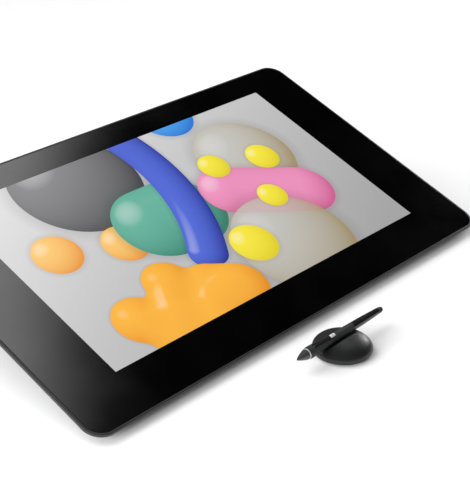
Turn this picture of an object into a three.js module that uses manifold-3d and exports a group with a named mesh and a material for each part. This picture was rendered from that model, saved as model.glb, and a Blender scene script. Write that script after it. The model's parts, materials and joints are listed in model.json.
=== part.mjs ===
// A 24-inch pen display standing on its two fold-out legs, with its pen lying in the groove of a domed stand.
// Millimetres, +Z up, +X to the user's right, +Y away from the user. The origin is the bottom centre of the set.
// The display is built in its own panel frame: the origin is the centre of the picture on the glass's top
// face, +Y runs up the picture and +Z out of the glass. A group then tips that frame back onto the desk.
import * as THREE from "three";
import { mergeVertices } from "three/addons/utils/BufferGeometryUtils.js";
import Module from "manifold-3d";

const wasm = await Module();
wasm.setup();

// ---- driving dimensions ----
const TILT = THREE.MathUtils.degToRad(20); // incline of the glass with the legs out
const WEDGE = THREE.MathUtils.degToRad(5); // incline of the underside against the glass
const GAP = 0.3; // between pieces that touch

const BODY = { left: -338.5, right: 338.5, front: -207, back: 187, corner: 23 };
const PICTURE = { width: 522, height: 294 };
const GLASS_INSET = 3;
const GLASS_THICKNESS = 1.6;
const FRONT_THICKNESS = 18; // of the body at the foot of its front wall
const FRONT_WALL = BODY.front + 25;
const SHELL_WALL = 2.4;
const WALL_TOP = -11.2; // height where the steep wall of the base begins
const CORNER_STEPS = 7;

const FOOT = { front: -176, back: -158, height: 6.5, inner: 130, outer: 290, clearance: 3.8 };
const REAR_PAD = { inner: 125, outer: 175, front: 128, back: 146 };
const COVER = { width: 200, front: -62, back: 82, thickness: 2.3, ledge: 12, screwInset: 6 };
const LEG = { x: 215, width: 30, hingeAt: 146, hingeUp: 6.5, lean: THREE.MathUtils.degToRad(6), knuckle: 6 };
const LEG_BAR = { outer: 6, inner: -5, pad: 8, pin: 2.5, bore: 3.0 };
const POCKET = { width: 38.4, depth: 15, wall: 1.8, back: 154.5, slack: 3.5 };
const FAN = { x: 142, y: 48, size: 60, height: 11, floor: -26, cavity: 26, rotor: 23, hub: 9, blades: 9 };
const BUTTON = { x: 215, width: 13, height: 6, proud: 0.8, z: -24 };
const PORT_Z = -24; // height of the row of sockets

const PEN = { tipX: -101.4, y: -250.4, length: 151.5, cone: 15.8, gripEnd: 95, barrelEnd: 142.1, sides: 16 };
const PEN_ROLL = THREE.MathUtils.degToRad(14); // of the side switch, from straight up towards the user
const ROCKER = { start: 26, end: 63, split: 55.5, width: 4.6, bottom: 4.8, top: 6.4 };
const STAND = {
  x: -28.1, y: -255.3, radius: 34.4, height: 20, waist: 5, groove: 12, grooveFloor: 13.2, sides: 32,
};

// ---- materials ----
const finish = (color, roughness, metalness = 0) =>
  new THREE.MeshStandardMaterial({ color, roughness, metalness });
const MATERIAL = {
  glass: finish(0x0b0b0c, 0.25),
  ink: finish(0x050505, 0.6),
  lcd: finish(0xb9bcc0, 0.4),
  tray: finish(0xe6e6e2, 0.5),
  board: finish(0x1e4a33, 0.6),
  chassis: finish(0x9a9da0, 0.45, 0.8),
  frame: finish(0x55585a, 0.35, 0.7),
  shell: finish(0x1b1c1d, 0.6),
  rubber: finish(0x151515, 0.9),
  steel: finish(0xa8abad, 0.3, 1),
  fan: finish(0x17181a, 0.5),
  legMetal: finish(0x3a3c3e, 0.45, 0.6),
  penRubber: finish(0x2e3030, 0.8),
  penBarrel: finish(0x131414, 0.35),
  penTrim: finish(0xd8dadb, 0.2, 1),
  stand: finish(0x202222, 0.45),
  nib: finish(0x303030, 0.5),
};

// ---- solids ----

// The same surface as an indexed geometry of position only, with its faces pointing out.
function closedSurface(geometry) {
  const bare = new THREE.BufferGeometry();
  bare.setAttribute("position", geometry.getAttribute("position").clone());
  if (geometry.index) bare.setIndex(geometry.index.clone());
  const merged = mergeVertices(bare, 1e-4);
  const position = merged.getAttribute("position");
  const index = merged.index.array;
  const [a, b, c] = [new THREE.Vector3(), new THREE.Vector3(), new THREE.Vector3()];
  let volume = 0;
  for (let i = 0; i < index.length; i += 3) {
    a.fromBufferAttribute(position, index[i]);
    b.fromBufferAttribute(position, index[i + 1]);
    c.fromBufferAttribute(position, index[i + 2]);
    volume += a.dot(b.cross(c));
  }
  if (volume < 0) {
    for (let i = 0; i < index.length; i += 3) {
      [index[i + 1], index[i + 2]] = [index[i + 2], index[i + 1]];
    }
  }
  return merged;
}

function solidOf(geometry) {
  const surface = closedSurface(geometry);
  return new wasm.Manifold(
    new wasm.Mesh({
      numProp: 3,
      vertProperties: surface.getAttribute("position").array,
      triVerts: new Uint32Array(surface.index.array),
    }),
  );
}

function geometryOf(solid) {
  const mesh = solid.getMesh();
  const geometry = new THREE.BufferGeometry();
  geometry.setAttribute("position", new THREE.BufferAttribute(new Float32Array(mesh.vertProperties), 3));
  geometry.setIndex(new THREE.BufferAttribute(new Uint32Array(mesh.triVerts), 1));
  return geometry;
}

// The base geometry with the added ones joined to it and the cut ones taken away.
function shaped(base, added = [], cuts = []) {
  let solid = solidOf(base);
  for (const piece of added) solid = solid.add(solidOf(piece));
  for (const piece of cuts) solid = solid.subtract(solidOf(piece));
  return geometryOf(solid);
}

function named(name, geometry, material) {
  const mesh = new THREE.Mesh(closedSurface(geometry), material);
  mesh.name = name;
  return mesh;
}

// A box between two corners.
function block(x0, x1, y0, y1, z0, z1) {
  const box = new THREE.BoxGeometry(x1 - x0, y1 - y0, z1 - z0);
  return box.translate((x0 + x1) / 2, (y0 + y1) / 2, (z0 + z1) / 2);
}

// A cylinder along X, Y or Z between two places on that axis, centred on the other two coordinates.
function rod(axis, radius, from, to, across, sides = 16) {
  const cylinder = new THREE.CylinderGeometry(radius, radius, to - from, sides);
  const middle = (from + to) / 2;
  if (axis === "x") return cylinder.rotateZ(-Math.PI / 2).translate(middle, across[0], across[1]);
  if (axis === "y") return cylinder.translate(across[0], middle, across[1]);
  return cylinder.rotateX(Math.PI / 2).translate(across[0], across[1], middle);
}

function roundedShape(x0, x1, y0, y1, radius) {
  const shape = new THREE.Shape();
  shape.moveTo(x0 + radius, y0);
  shape.lineTo(x1 - radius, y0);
  shape.absarc(x1 - radius, y0 + radius, radius, -Math.PI / 2, 0, false);
  shape.lineTo(x1, y1 - radius);
  shape.absarc(x1 - radius, y1 - radius, radius, 0, Math.PI / 2, false);
  shape.lineTo(x0 + radius, y1);
  shape.absarc(x0 + radius, y1 - radius, radius, Math.PI / 2, Math.PI, false);
  shape.lineTo(x0, y0 + radius);
  shape.absarc(x0 + radius, y0 + radius, radius, Math.PI, 1.5 * Math.PI, false);
  return shape;
}

// A flat outline given thickness from z0 up to z1.
function slab(shape, z0, z1, curveSegments = CORNER_STEPS) {
  const extruded = new THREE.ExtrudeGeometry(shape, { depth: z1 - z0, bevelEnabled: false, curveSegments });
  return extruded.translate(0, 0, z0);
}

// An outline of [y, z] points carried along X from x0 to x1.
function prism(points, x0, x1) {
  const shape = new THREE.Shape(points.map(([y, z]) => new THREE.Vector2(y, z)));
  const extruded = new THREE.ExtrudeGeometry(shape, { depth: x1 - x0, bevelEnabled: false });
  const [x, y, z] = [new THREE.Vector3(1, 0, 0), new THREE.Vector3(0, 1, 0), new THREE.Vector3(0, 0, 1)];
  return extruded.applyMatrix4(new THREE.Matrix4().makeBasis(y, z, x)).translate(x0, 0, 0);
}

// A profile of [radius, height] points turned about Z.
function turned(profile, sides) {
  const points = profile.map(([radius, height]) => new THREE.Vector2(radius, height));
  return new THREE.LatheGeometry(points, sides).rotateX(Math.PI / 2);
}

// A profile of [radius, distance along X] points turned about X.
function turnedAlongX(profile, sides = PEN.sides) {
  const points = profile.map(([radius, along]) => new THREE.Vector2(radius, along));
  return new THREE.LatheGeometry(points, sides).rotateZ(-Math.PI / 2);
}

// One ring of the body's rounded outline, drawn in by inset. Its height is a number or a function of y.
function ring(inset, height, radius = BODY.corner - inset) {
  const outline = roundedShape(
    BODY.left + inset,
    BODY.right - inset,
    BODY.front + inset,
    BODY.back - inset,
    radius,
  );
  const points = outline.extractPoints(CORNER_STEPS).shape;
  if (points[0].distanceTo(points[points.length - 1]) < 1e-6) points.pop();
  const heightAt = typeof height === "function" ? height : () => height;
  return points.map((p) => new THREE.Vector3(p.x, p.y, heightAt(p.y)));
}

// A skin over a stack of rings with equal counts of points: capped at both ends, or closed on itself.
function loft(rings, closed = false) {
  const count = rings[0].length;
  const index = [];
  const bands = closed ? rings.length : rings.length - 1;
  for (let k = 0; k < bands; k++) {
    const lower = k * count;
    const upper = ((k + 1) % rings.length) * count;
    for (let i = 0; i < count; i++) {
      const next = (i + 1) % count;
      index.push(lower + i, lower + next, upper + next, lower + i, upper + next, upper + i);
    }
  }
  if (!closed) {
    const last = (rings.length - 1) * count;
    for (let i = 1; i < count - 1; i++) {
      index.push(0, i + 1, i, last, last + i, last + i + 1);
    }
  }
  return new THREE.BufferGeometry().setFromPoints(rings.flat()).setIndex(index);
}

// ---- the display's underside and the desk, in the panel frame ----
const underside = (y) => -(FRONT_THICKNESS + (y - FRONT_WALL) * Math.tan(WEDGE));
const UNDER_FRAME = new THREE.Matrix4()
  .makeTranslation(0, 0, underside(0))
  .multiply(new THREE.Matrix4().makeRotationX(-WEDGE));
// Carries a geometry whose z is height above the underside, and y is distance along it, to the panel frame.
const onUnderside = (geometry) => geometry.applyMatrix4(UNDER_FRAME);

const lowestCorner = BODY.front + 30;
const DESK_DROP =
  -(lowestCorner * Math.sin(TILT) + underside(lowestCorner) * Math.cos(TILT)) + FOOT.clearance;
const desk = (y) => (-DESK_DROP - y * Math.sin(TILT)) / Math.cos(TILT);

// The hinge line in the panel frame, and its height over the desk.
const hingeInPanel = new THREE.Vector3(0, LEG.hingeAt, LEG.hingeUp).applyMatrix4(UNDER_FRAME);
const hingeHeight = hingeInPanel.y * Math.sin(TILT) + hingeInPanel.z * Math.cos(TILT) + DESK_DROP;

// The height of the desk under the hinge, in the leaning frame of the leg, at a place across its thickness.
const legDesk = (y) => (-hingeHeight - y * Math.sin(LEG.lean)) / Math.cos(LEG.lean);

// ---- the display: glass, picture panel and what is behind it ----
function coverGlass() {
  const edge = GLASS_INSET;
  return loft([ring(edge, -GLASS_THICKNESS), ring(edge, -0.3), ring(edge + 0.3, 0)]);
}

function printedBorder() {
  const outline = roundedShape(
    BODY.left + GLASS_INSET + 0.6,
    BODY.right - GLASS_INSET - 0.6,
    BODY.front + GLASS_INSET + 0.6,
    BODY.back - GLASS_INSET - 0.6,
    BODY.corner - GLASS_INSET - 0.6,
  );
  const [halfWidth, halfHeight] = [PICTURE.width / 2, PICTURE.height / 2];
  outline.holes.push(roundedShape(-halfWidth, halfWidth, -halfHeight, halfHeight, 0.2));
  return slab(outline, -2.1, -1.85);
}

function bezelFrame() {
  const section = [
    [0.8, 0], [2.7, 0], [2.7, -2.4], [12, -2.4], [12, -7.4], [0, -4.2], [0, -0.8],
  ];
  return loft(section.map(([inset, z]) => ring(inset, z)), true);
}

function displayCore() {
  const [w, h] = [PICTURE.width / 2, PICTURE.height / 2];
  return [
    named("lcd_panel", block(-w - 5, w + 5, -h - 4, h + 4, -3.6, -2.4), MATERIAL.lcd),
    named("backlight_unit", block(-w - 9, w + 9, -h - 8, h + 8, -8.2, -3.9), MATERIAL.tray),
    named("digitizer_board", block(-w - 6, w + 6, -h - 5, h + 5, -9.6, -8.5), MATERIAL.board),
    named("chassis_plate", block(-286, 286, -158, 148, -11.4, -9.9), MATERIAL.chassis),
    named("main_board", block(-84, 84, -40, 62, -20.1, -18.5), MATERIAL.board),
    named("heat_sink", heatSink(), MATERIAL.chassis),
  ];
}

// A finned block between the two fans.
function heatSink() {
  const base = block(-60, 60, -20, 40, -14.5, -12.2);
  const fins = [];
  for (let x = -56; x <= 56; x += 14) fins.push(block(x - 1, x + 1, -20, 40, -17.8, -14));
  return shaped(base, fins);
}

// ---- the rear cover ----
function rearCoverShell() {
  const wall = SHELL_WALL;
  return loft([
    ring(30, underside, 14),
    ring(27.2, (y) => underside(y) + 2.6, 16),
    ring(25.5, WALL_TOP, 17),
    ring(12.4, -7.8),
    ring(12.4, -4),
    ring(12.4 + wall - 0.2, -4),
    ring(12.4 + wall - 0.2, -6),
    ring(25.5 + wall, WALL_TOP + 2, 15),
    ring(27.2 + wall, (y) => underside(y) + wall + 1.4, 14),
    ring(30 + wall - 0.6, (y) => underside(y) + wall, 12),
  ]);
}

// The recess that a folded leg lies in, or with a margin the walls around it.
function pocketBlock(x, margin, top) {
  const half = POCKET.width / 2 + margin;
  const front = LEG.hingeAt + legDesk(LEG_BAR.outer) - POCKET.slack;
  const floor = margin > 0 ? 0.8 : -8;
  return onUnderside(block(x - half, x + half, front - margin, POCKET.back + margin, floor, top));
}

function rearVents() {
  const slots = [];
  const backWall = BODY.back - 27;
  for (const side of [-1, 1]) {
    for (let i = 0; i < 16; i++) {
      const x = side * (36 + i * 7);
      slots.push(block(x - 1.4, x + 1.4, backWall - 6, backWall + 6, -36, -18));
    }
  }
  return slots;
}

function intakeVents() {
  const slots = [];
  for (const side of [-1, 1]) {
    for (let i = 0; i < 8; i++) {
      const x = side * (FAN.x - 24.5 + i * 7);
      slots.push(onUnderside(block(x - 1.4, x + 1.4, FAN.y - 22, FAN.y + 22, -2, 5)));
    }
  }
  return slots;
}

// Where each cover screw stands, as [x, distance along the underside].
function coverScrewPlaces() {
  const x = COVER.width / 2 - COVER.screwInset;
  const [front, back] = [COVER.front + COVER.screwInset, COVER.back - COVER.screwInset];
  return [[-x, front], [x, front], [-x, back], [x, back]];
}

function rearCover() {
  const { width, front, back, ledge } = COVER;
  const half = width / 2;
  const added = [onUnderside(block(-half - 10, half + 10, front - 10, back + 10, 0.8, 6.2))];
  const cuts = [
    onUnderside(slab(roundedShape(-half - 0.4, half + 0.4, front - 0.4, back + 0.4, 6.4), -2, 2.7, 4)),
    onUnderside(block(-half + ledge, half - ledge, front + ledge, back - ledge, -2, 8)),
    ...coverScrewPlaces().map(([x, y]) => onUnderside(rod("z", 2.1, 1, 8, [x, y], 10))),
    ...rearVents(),
    ...intakeVents(),
  ];
  for (const side of [-1, 1]) {
    const x = side * LEG.x;
    added.push(pocketBlock(x, POCKET.wall, POCKET.depth + POCKET.wall));
    cuts.push(pocketBlock(x, 0, POCKET.depth));
  }
  for (const socket of SOCKETS) cuts.push(place(block(-9, 6, ...socketHole(socket)), socket));
  const { x, width: w, height: h, z } = BUTTON;
  const wallY = BODY.back - 27;
  cuts.push(block(x - w / 2 - 0.5, x + w / 2 + 0.5, wallY - 6, wallY + 6, z - h / 2 - 0.5, z + h / 2 + 0.5));
  return shaped(rearCoverShell(), added, cuts);
}

function engineCover() {
  const { width, front, back, thickness } = COVER;
  const plate = slab(roundedShape(-width / 2, width / 2, front, back, 6), 0.1, thickness, 4);
  const holes = coverScrewPlaces().flatMap(([x, y]) => [
    rod("z", 2.1, -1, 4, [x, y], 10),
    rod("z", 4.2, -1, 1.2, [x, y], 16),
  ]);
  return onUnderside(shaped(plate, [], holes));
}

function coverScrew([x, y]) {
  const head = rod("z", 3.7, 0.1, 0.9, [x, y], 16);
  const shank = rod("z", 1.6, 0.8, 6.6, [x, y], 10);
  const across = block(x - 2.2, x + 2.2, y - 0.4, y + 0.4, -1, 0.5);
  const along = block(x - 0.4, x + 0.4, y - 2.2, y + 2.2, -1, 0.5);
  return onUnderside(shaped(head, [shank], [across, along]));
}

// ---- sockets, each a metal shell that opens at x = 0 and runs in towards -X ----
// The sides of the base and its back wall: where a socket's mouth lies, and which way it faces.
const sideWallX = BODY.right - 26.6;
const backWallY = BODY.back - 26.6;
const FACING = { left: Math.PI, right: 0, rear: Math.PI / 2 };
const USB = { w: 13.6, h: 6.2, hole: [12.4, 5], deep: 14 };
const SOCKETS = [
  ...[-1, 1].flatMap((side) => {
    const word = side < 0 ? "left" : "right";
    const facing = FACING[word];
    return [
      { name: `usb_socket_${word}_front`, ...USB, at: [side * sideWallX, 70], facing },
      { name: `usb_socket_${word}_rear`, ...USB, at: [side * sideWallX, 96], facing },
    ];
  }),
  {
    name: "headphone_socket", w: 8, h: 8, hole: [3.6, 3.6], deep: 14, round: true,
    at: [-sideWallX, 120], facing: FACING.left,
  },
  {
    name: "card_reader", w: 27, h: 5, hole: [24.6, 2.6], deep: 20,
    at: [sideWallX, 36], facing: FACING.right,
  },
  {
    name: "power_socket", w: 10, h: 9, hole: [6.4, 6.4], deep: 10, round: true,
    at: [-250, backWallY], facing: FACING.rear,
  },
  {
    name: "displayport_socket", w: 18, h: 6.6, hole: [16.2, 4.9], deep: 12,
    at: [-228, backWallY], facing: FACING.rear,
  },
  {
    name: "hdmi_socket", w: 16, h: 6.4, hole: [14.1, 4.7], deep: 12,
    at: [-204, backWallY], facing: FACING.rear,
  },
  {
    name: "usb_c_socket", w: 10.4, h: 4.8, hole: [8.4, 2.7], deep: 9,
    at: [-184, backWallY], facing: FACING.rear,
  },
];

const socketHole = ({ w, h }) => [-w / 2 - 0.4, w / 2 + 0.4, -h / 2 - 0.4, h / 2 + 0.4];

function place(geometry, { at, facing }) {
  return geometry.rotateZ(facing).translate(at[0], at[1], PORT_Z);
}

function socketShell({ w, h, hole, deep, round, ...rest }) {
  const outer = block(-deep - 1.4, 0, -w / 2, w / 2, -h / 2, h / 2);
  const cavity = round
    ? rod("x", hole[0] / 2, -deep, 1, [0, 0], 16)
    : block(-deep, 1, -hole[0] / 2, hole[0] / 2, -hole[1] / 2, hole[1] / 2);
  return place(shaped(outer, [], [cavity]), rest);
}

// ---- rubber feet ----
function frontFoot(side) {
  const { front, back, height } = FOOT;
  const flat = (y) => underside(y) - height;
  // The sole has two faces: one for the body lying flat and one for the body on its legs.
  const slope = Math.tan(TILT) - Math.tan(WEDGE);
  const knee = (-DESK_DROP / Math.cos(TILT) - flat(0)) / slope;
  const section = [
    [front, underside(front) - GAP],
    [front, desk(front)],
    [knee, desk(knee)],
    [back, flat(back)],
    [back, underside(back) - GAP],
  ];
  const [inner, outer] = [side * FOOT.inner, side * FOOT.outer];
  return prism(section, Math.min(inner, outer), Math.max(inner, outer));
}

function rearPad(side) {
  const [inner, outer] = [side * REAR_PAD.inner, side * REAR_PAD.outer];
  const shape = roundedShape(Math.min(inner, outer), Math.max(inner, outer), REAR_PAD.front, REAR_PAD.back, 5);
  return onUnderside(slab(shape, -FOOT.height, -GAP, 4));
}

// ---- fans ----
function fanHousing(x) {
  const { y, size, height, floor, cavity } = FAN;
  const box = block(x - size / 2, x + size / 2, y - size / 2, y + size / 2, floor, floor + height);
  const well = rod("z", cavity, floor - 1, floor + height - 1.6, [x, y], 24);
  const outlet = block(x - 20, x + 20, y, y + size, floor + 1.6, floor + height - 1.6);
  const axle = rod("z", 1.6, floor + 2, floor + height - 1, [x, y], 10);
  const tray = shaped(box, [], [well, outlet]);
  return shaped(tray, [axle]);
}

function fanRotor(x) {
  const { y, floor, height, rotor, hub, blades } = FAN;
  const [low, high] = [floor + 1.4, floor + height - 2.6];
  const vanes = [];
  for (let i = 0; i < blades; i++) {
    const vane = block(hub - 2, rotor, -0.6, 0.6, low + 0.6, high - 0.6);
    vanes.push(vane.rotateZ((i / blades) * 2 * Math.PI).translate(x, y, 0));
  }
  return shaped(rod("z", hub, low, high, [x, y], 20), vanes, [rod("z", 2.2, low - 1, high + 1, [x, y], 12)]);
}

// ---- power button ----
function powerButton() {
  const { x, width: w, height: h, z, proud } = BUTTON;
  const wall = BODY.back - 26.1;
  const cap = block(x - w / 2, x + w / 2, wall - 5, wall + proud, z - h / 2, z + h / 2);
  const flange = block(x - w / 2 - 1.6, x + w / 2 + 1.6, wall - 6.6, wall - 5, z - h / 2 - 1.6, z + h / 2 + 1.6);
  return shaped(cap, [flange]);
}

// ---- legs ----
function hingeBracket(x) {
  const { hingeAt, hingeUp, width } = LEG;
  const inner = width / 2 + 0.5;
  const outer = POCKET.width / 2 - GAP;
  const top = POCKET.depth - GAP;
  const bridge = block(x - outer, x + outer, hingeAt - 7, hingeAt + 7, top - 1.4, top);
  const ears = [-1, 1].map((side) => {
    const [a, b] = [x + side * inner, x + side * outer];
    return block(Math.min(a, b), Math.max(a, b), hingeAt - 5.5, hingeAt + 5.5, 1.5, top);
  });
  const bore = rod("x", LEG_BAR.bore, x - 30, x + 30, [hingeAt, hingeUp]);
  return onUnderside(shaped(bridge, ears, [bore]));
}

function hingePin(x) {
  const half = POCKET.width / 2 - GAP;
  return onUnderside(rod("x", LEG_BAR.pin, x - half, x + half, [LEG.hingeAt, LEG.hingeUp], 12));
}

function legBar() {
  const { outer, inner, pad, bore } = LEG_BAR;
  const half = LEG.width / 2;
  const end = legDesk(0) + pad;
  const bar = prism([[outer, 0], [outer, end], [inner, end], [inner, 0]], -half, half);
  const knuckle = rod("x", LEG.knuckle, -half, half, [0, 0], 20);
  const channel = block(-half + 4, half - 4, inner - 1, 1.5, end + 9, -13);
  const ribs = [1, 2].map((i) => {
    const z = end + 9 + (i * (-22 - end)) / 3;
    return block(-half + 3, half - 3, inner + 1, 2, z - 1, z + 1);
  });
  const hollowed = shaped(bar, [knuckle], [channel]);
  return shaped(hollowed, ribs, [rod("x", bore, -half - 1, half + 1, [0, 0])]);
}

function legFoot() {
  const { outer, inner, pad } = LEG_BAR;
  const top = legDesk(0) + pad - GAP;
  const half = LEG.width / 2;
  return prism([[outer, top], [outer, legDesk(outer)], [inner, legDesk(inner)], [inner, top]], -half, half);
}

function leg(word, x) {
  const group = new THREE.Group();
  group.name = `leg_${word}_pivot`;
  group.position.set(x, hingeInPanel.y, hingeInPanel.z);
  group.rotation.x = LEG.lean - TILT;
  group.add(named(`leg_${word}_bar`, legBar(), MATERIAL.legMetal));
  group.add(named(`leg_${word}_foot`, legFoot(), MATERIAL.rubber));
  return group;
}

function display() {
  const group = new THREE.Group();
  group.add(
    named("cover_glass", coverGlass(), MATERIAL.glass),
    named("printed_border", printedBorder(), MATERIAL.ink),
    named("bezel_frame", bezelFrame(), MATERIAL.frame),
    ...displayCore(),
    named("rear_cover", rearCover(), MATERIAL.shell),
    named("engine_cover", engineCover(), MATERIAL.shell),
    ...coverScrewPlaces().map((at, i) => named(`cover_screw_${i + 1}`, coverScrew(at), MATERIAL.steel)),
    ...SOCKETS.map((socket) => named(socket.name, socketShell(socket), MATERIAL.steel)),
    named("power_button", powerButton(), MATERIAL.fan),
  );
  for (const [word, side] of [["left", -1], ["right", 1]]) {
    group.add(
      named(`front_foot_${word}`, frontFoot(side), MATERIAL.rubber),
      named(`rear_pad_${word}`, rearPad(side), MATERIAL.rubber),
      named(`fan_housing_${word}`, fanHousing(side * FAN.x), MATERIAL.fan),
      named(`fan_rotor_${word}`, fanRotor(side * FAN.x), MATERIAL.fan),
      named(`hinge_bracket_${word}`, hingeBracket(side * LEG.x), MATERIAL.steel),
      named(`hinge_pin_${word}`, hingePin(side * LEG.x), MATERIAL.steel),
      leg(word, side * LEG.x),
    );
  }
  group.rotation.x = TILT;
  group.position.z = DESK_DROP;
  return group;
}

// ---- the pen, along X with its tip at x = 0 ----
const GRIP_START = PEN.cone + 1.8;
const GRIP_BORE = 4.3;
const TUBE = { outer: 4, inner: 2.8, start: 22 };
const GRIP_OUTLINE = [
  [6.7, GRIP_START], [7.1, 21.5], [6.9, 28], [6.2, 38], [5.6, 50], [5.4, 64], [5.3, 86], [5.15, PEN.gripEnd],
];

function penGrip() {
  const bore = [[GRIP_BORE, PEN.gripEnd], [GRIP_BORE, GRIP_START], GRIP_OUTLINE[0]];
  const sleeve = turnedAlongX([...GRIP_OUTLINE, ...bore]);
  const { start, end, width } = ROCKER;
  const half = width / 2 + 0.4;
  return shaped(sleeve, [], [block(start - 0.5, end + 0.5, -half, half, 3, 12)]);
}

function penBarrel() {
  const { outer, inner, start } = TUBE;
  const rear = PEN.gripEnd + GAP;
  return turnedAlongX([
    [outer, start], [outer, rear], [5.1, rear], [4.9, 112], [4.35, 130], [3.85, PEN.barrelEnd],
    [inner, PEN.barrelEnd], [inner, start], [outer, start],
  ]);
}

function penCone() {
  const end = PEN.cone;
  return turnedAlongX([[1.5, 1.8], [3.1, 5.4], [6.1, end - 1], [6.2, end], [1.2, end], [1.2, 1.8], [1.5, 1.8]]);
}

function penRing() {
  const [from, to] = [PEN.cone + GAP, PEN.cone + 1.5];
  return turnedAlongX([[2.2, from], [6.4, from], [6.5, to], [2.2, to], [2.2, from]]);
}

function penNib() {
  return turnedAlongX([[0, 0], [0.5, 0.25], [0.8, 1.4], [0.8, 18], [0, 18]], 10);
}

function penEraser() {
  const { barrelEnd, length } = PEN;
  const from = barrelEnd + 1.1;
  return turnedAlongX([
    [0, barrelEnd - 6], [2.2, barrelEnd - 6], [2.2, from], [3.75, from],
    [3.5, length - 4], [2.7, length - 1.4], [1.4, length - 0.3], [0, length],
  ]);
}

// One length of the side switch: a bar with a rounded top.
function rockerBar(from, to) {
  const { width, bottom, top } = ROCKER;
  const half = width / 2;
  const section = [
    [-half, bottom], [half, bottom], [half, top - 0.7], [half - 0.8, top], [-half + 0.8, top], [-half, top - 0.7],
  ];
  return prism(section, from, to);
}

function pen() {
  const group = new THREE.Group();
  group.name = "pen_frame";
  group.position.set(PEN.tipX, PEN.y, STAND.grooveFloor + GAP + 6);
  group.rotation.x = PEN_ROLL;
  group.add(
    named("pen_nib", penNib(), MATERIAL.nib),
    named("pen_cone", penCone(), MATERIAL.penBarrel),
    named("pen_ring", penRing(), MATERIAL.penTrim),
    named("pen_grip", penGrip(), MATERIAL.penRubber),
    named("pen_barrel", penBarrel(), MATERIAL.penBarrel),
    named("pen_circuit", block(28, 92, -1.6, 1.6, -0.5, 0.5), MATERIAL.board),
    named("side_switch", rockerBar(ROCKER.start, ROCKER.split - 0.15), MATERIAL.penBarrel),
    named("side_switch_trim", rockerBar(ROCKER.split + 0.15, ROCKER.end), MATERIAL.penTrim),
    named("pen_eraser", penEraser(), MATERIAL.penRubber),
  );
  return group;
}

// ---- the pen stand, turned about Z ----
function standDome() {
  const { radius, height, waist, groove, grooveFloor, sides } = STAND;
  const crown = [];
  const steps = 7;
  for (let i = 0; i <= steps; i++) {
    const angle = (i / steps) * (Math.PI / 2);
    crown.push([radius * Math.cos(angle) ** 0.9, waist + (height - waist) * Math.sin(angle)]);
  }
  crown[steps][0] = 0;
  const outside = [[radius - 2.2, 1.6], [radius - 0.6, 2.8], ...crown];
  const body = turned([[0, 1.6], ...outside], sides);
  const hollow = rod("z", 30, 0, 7.2, [0, 0], sides);
  const channel = rod("x", groove, -60, 60, [PEN.y - STAND.y, grooveFloor + groove], 28);
  return shaped(body, [], [hollow, channel]);
}

const standBase = () => rod("z", 29.5, 1.5, 4.2, [0, 0], STAND.sides);
const nibTray = () => rod("z", 26, 4.5, 5.1, [0, 0], 20);

function standFootRing() {
  return turned([[22.5, 0], [29, 0], [29, 1.2], [22.5, 1.2], [22.5, 0]], STAND.sides);
}

function spareNib(i) {
  const nib = rod("x", 0.75, 8, 20, [0, 6.15], 8);
  return nib.rotateZ((i / 4) * 2 * Math.PI + Math.PI / 4);
}

function stand() {
  const group = new THREE.Group();
  group.name = "stand_frame";
  group.position.set(STAND.x, STAND.y, 0);
  group.add(
    named("stand_dome", standDome(), MATERIAL.stand),
    named("stand_base", standBase(), MATERIAL.stand),
    named("stand_foot_ring", standFootRing(), MATERIAL.rubber),
    named("nib_tray", nibTray(), MATERIAL.tray),
    ...[0, 1, 2, 3].map((i) => named(`spare_nib_${i + 1}`, spareNib(i), MATERIAL.nib)),
  );
  return group;
}

// ---- the set, with its origin moved to the middle of its footprint ----
const set = new THREE.Group();
set.add(display(), pen(), stand());
set.updateMatrixWorld(true);
const bounds = new THREE.Box3().setFromObject(set, true);
set.position.y = -(bounds.min.y + bounds.max.y) / 2;

const root = new THREE.Group();
root.add(set);

export default root;
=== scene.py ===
"""A pen display on its fold-out legs, with its pen lying across a domed stand.

Each sub-assembly is a class. It holds its sizes in millimetres as dataclass fields, builds its
meshes with bmesh operators in a frame of its own, and dresses them in one of the finishes.
"""

from __future__ import annotations

import json
import logging
import math
from dataclasses import dataclass, field, replace
from enum import Enum
from typing import Any, Iterable, Sequence

import bmesh
import bpy
from mathutils import Matrix, Vector


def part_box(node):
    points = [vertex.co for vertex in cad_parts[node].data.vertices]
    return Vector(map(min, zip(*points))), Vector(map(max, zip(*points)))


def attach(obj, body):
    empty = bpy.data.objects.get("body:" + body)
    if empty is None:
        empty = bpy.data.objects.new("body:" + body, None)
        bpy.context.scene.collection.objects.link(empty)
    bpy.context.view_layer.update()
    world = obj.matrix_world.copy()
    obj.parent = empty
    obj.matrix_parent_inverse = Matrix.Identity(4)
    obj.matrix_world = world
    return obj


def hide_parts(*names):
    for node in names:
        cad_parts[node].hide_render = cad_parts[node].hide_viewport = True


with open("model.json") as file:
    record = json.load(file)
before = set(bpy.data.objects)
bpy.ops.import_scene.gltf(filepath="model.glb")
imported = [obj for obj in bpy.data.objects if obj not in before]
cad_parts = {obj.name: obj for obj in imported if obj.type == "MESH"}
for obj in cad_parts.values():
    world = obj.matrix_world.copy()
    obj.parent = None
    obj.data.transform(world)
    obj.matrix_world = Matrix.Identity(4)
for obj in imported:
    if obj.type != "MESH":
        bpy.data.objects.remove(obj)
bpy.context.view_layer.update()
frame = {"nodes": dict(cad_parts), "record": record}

log = logging.getLogger("pen_display")

MM = 0.001
FULL_TURN = 2 * math.pi
Colour = tuple[float, float, float]
Point = tuple[float, float, float]
Profile = Sequence[tuple[float, float]]


# ---------------------------------------------------------------------------
# Places in the frame
# ---------------------------------------------------------------------------


def mount(name: str) -> tuple[Vector, Vector]:
    """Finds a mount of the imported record.

    Args:
        name: The mount's name.

    Returns:
        Its point in metres and its outward axis.
    """
    found = next(m for m in frame["record"]["mounts"] if m["name"] == name)
    return Vector(found["pos_m"]), Vector(found["axis"])


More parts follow.
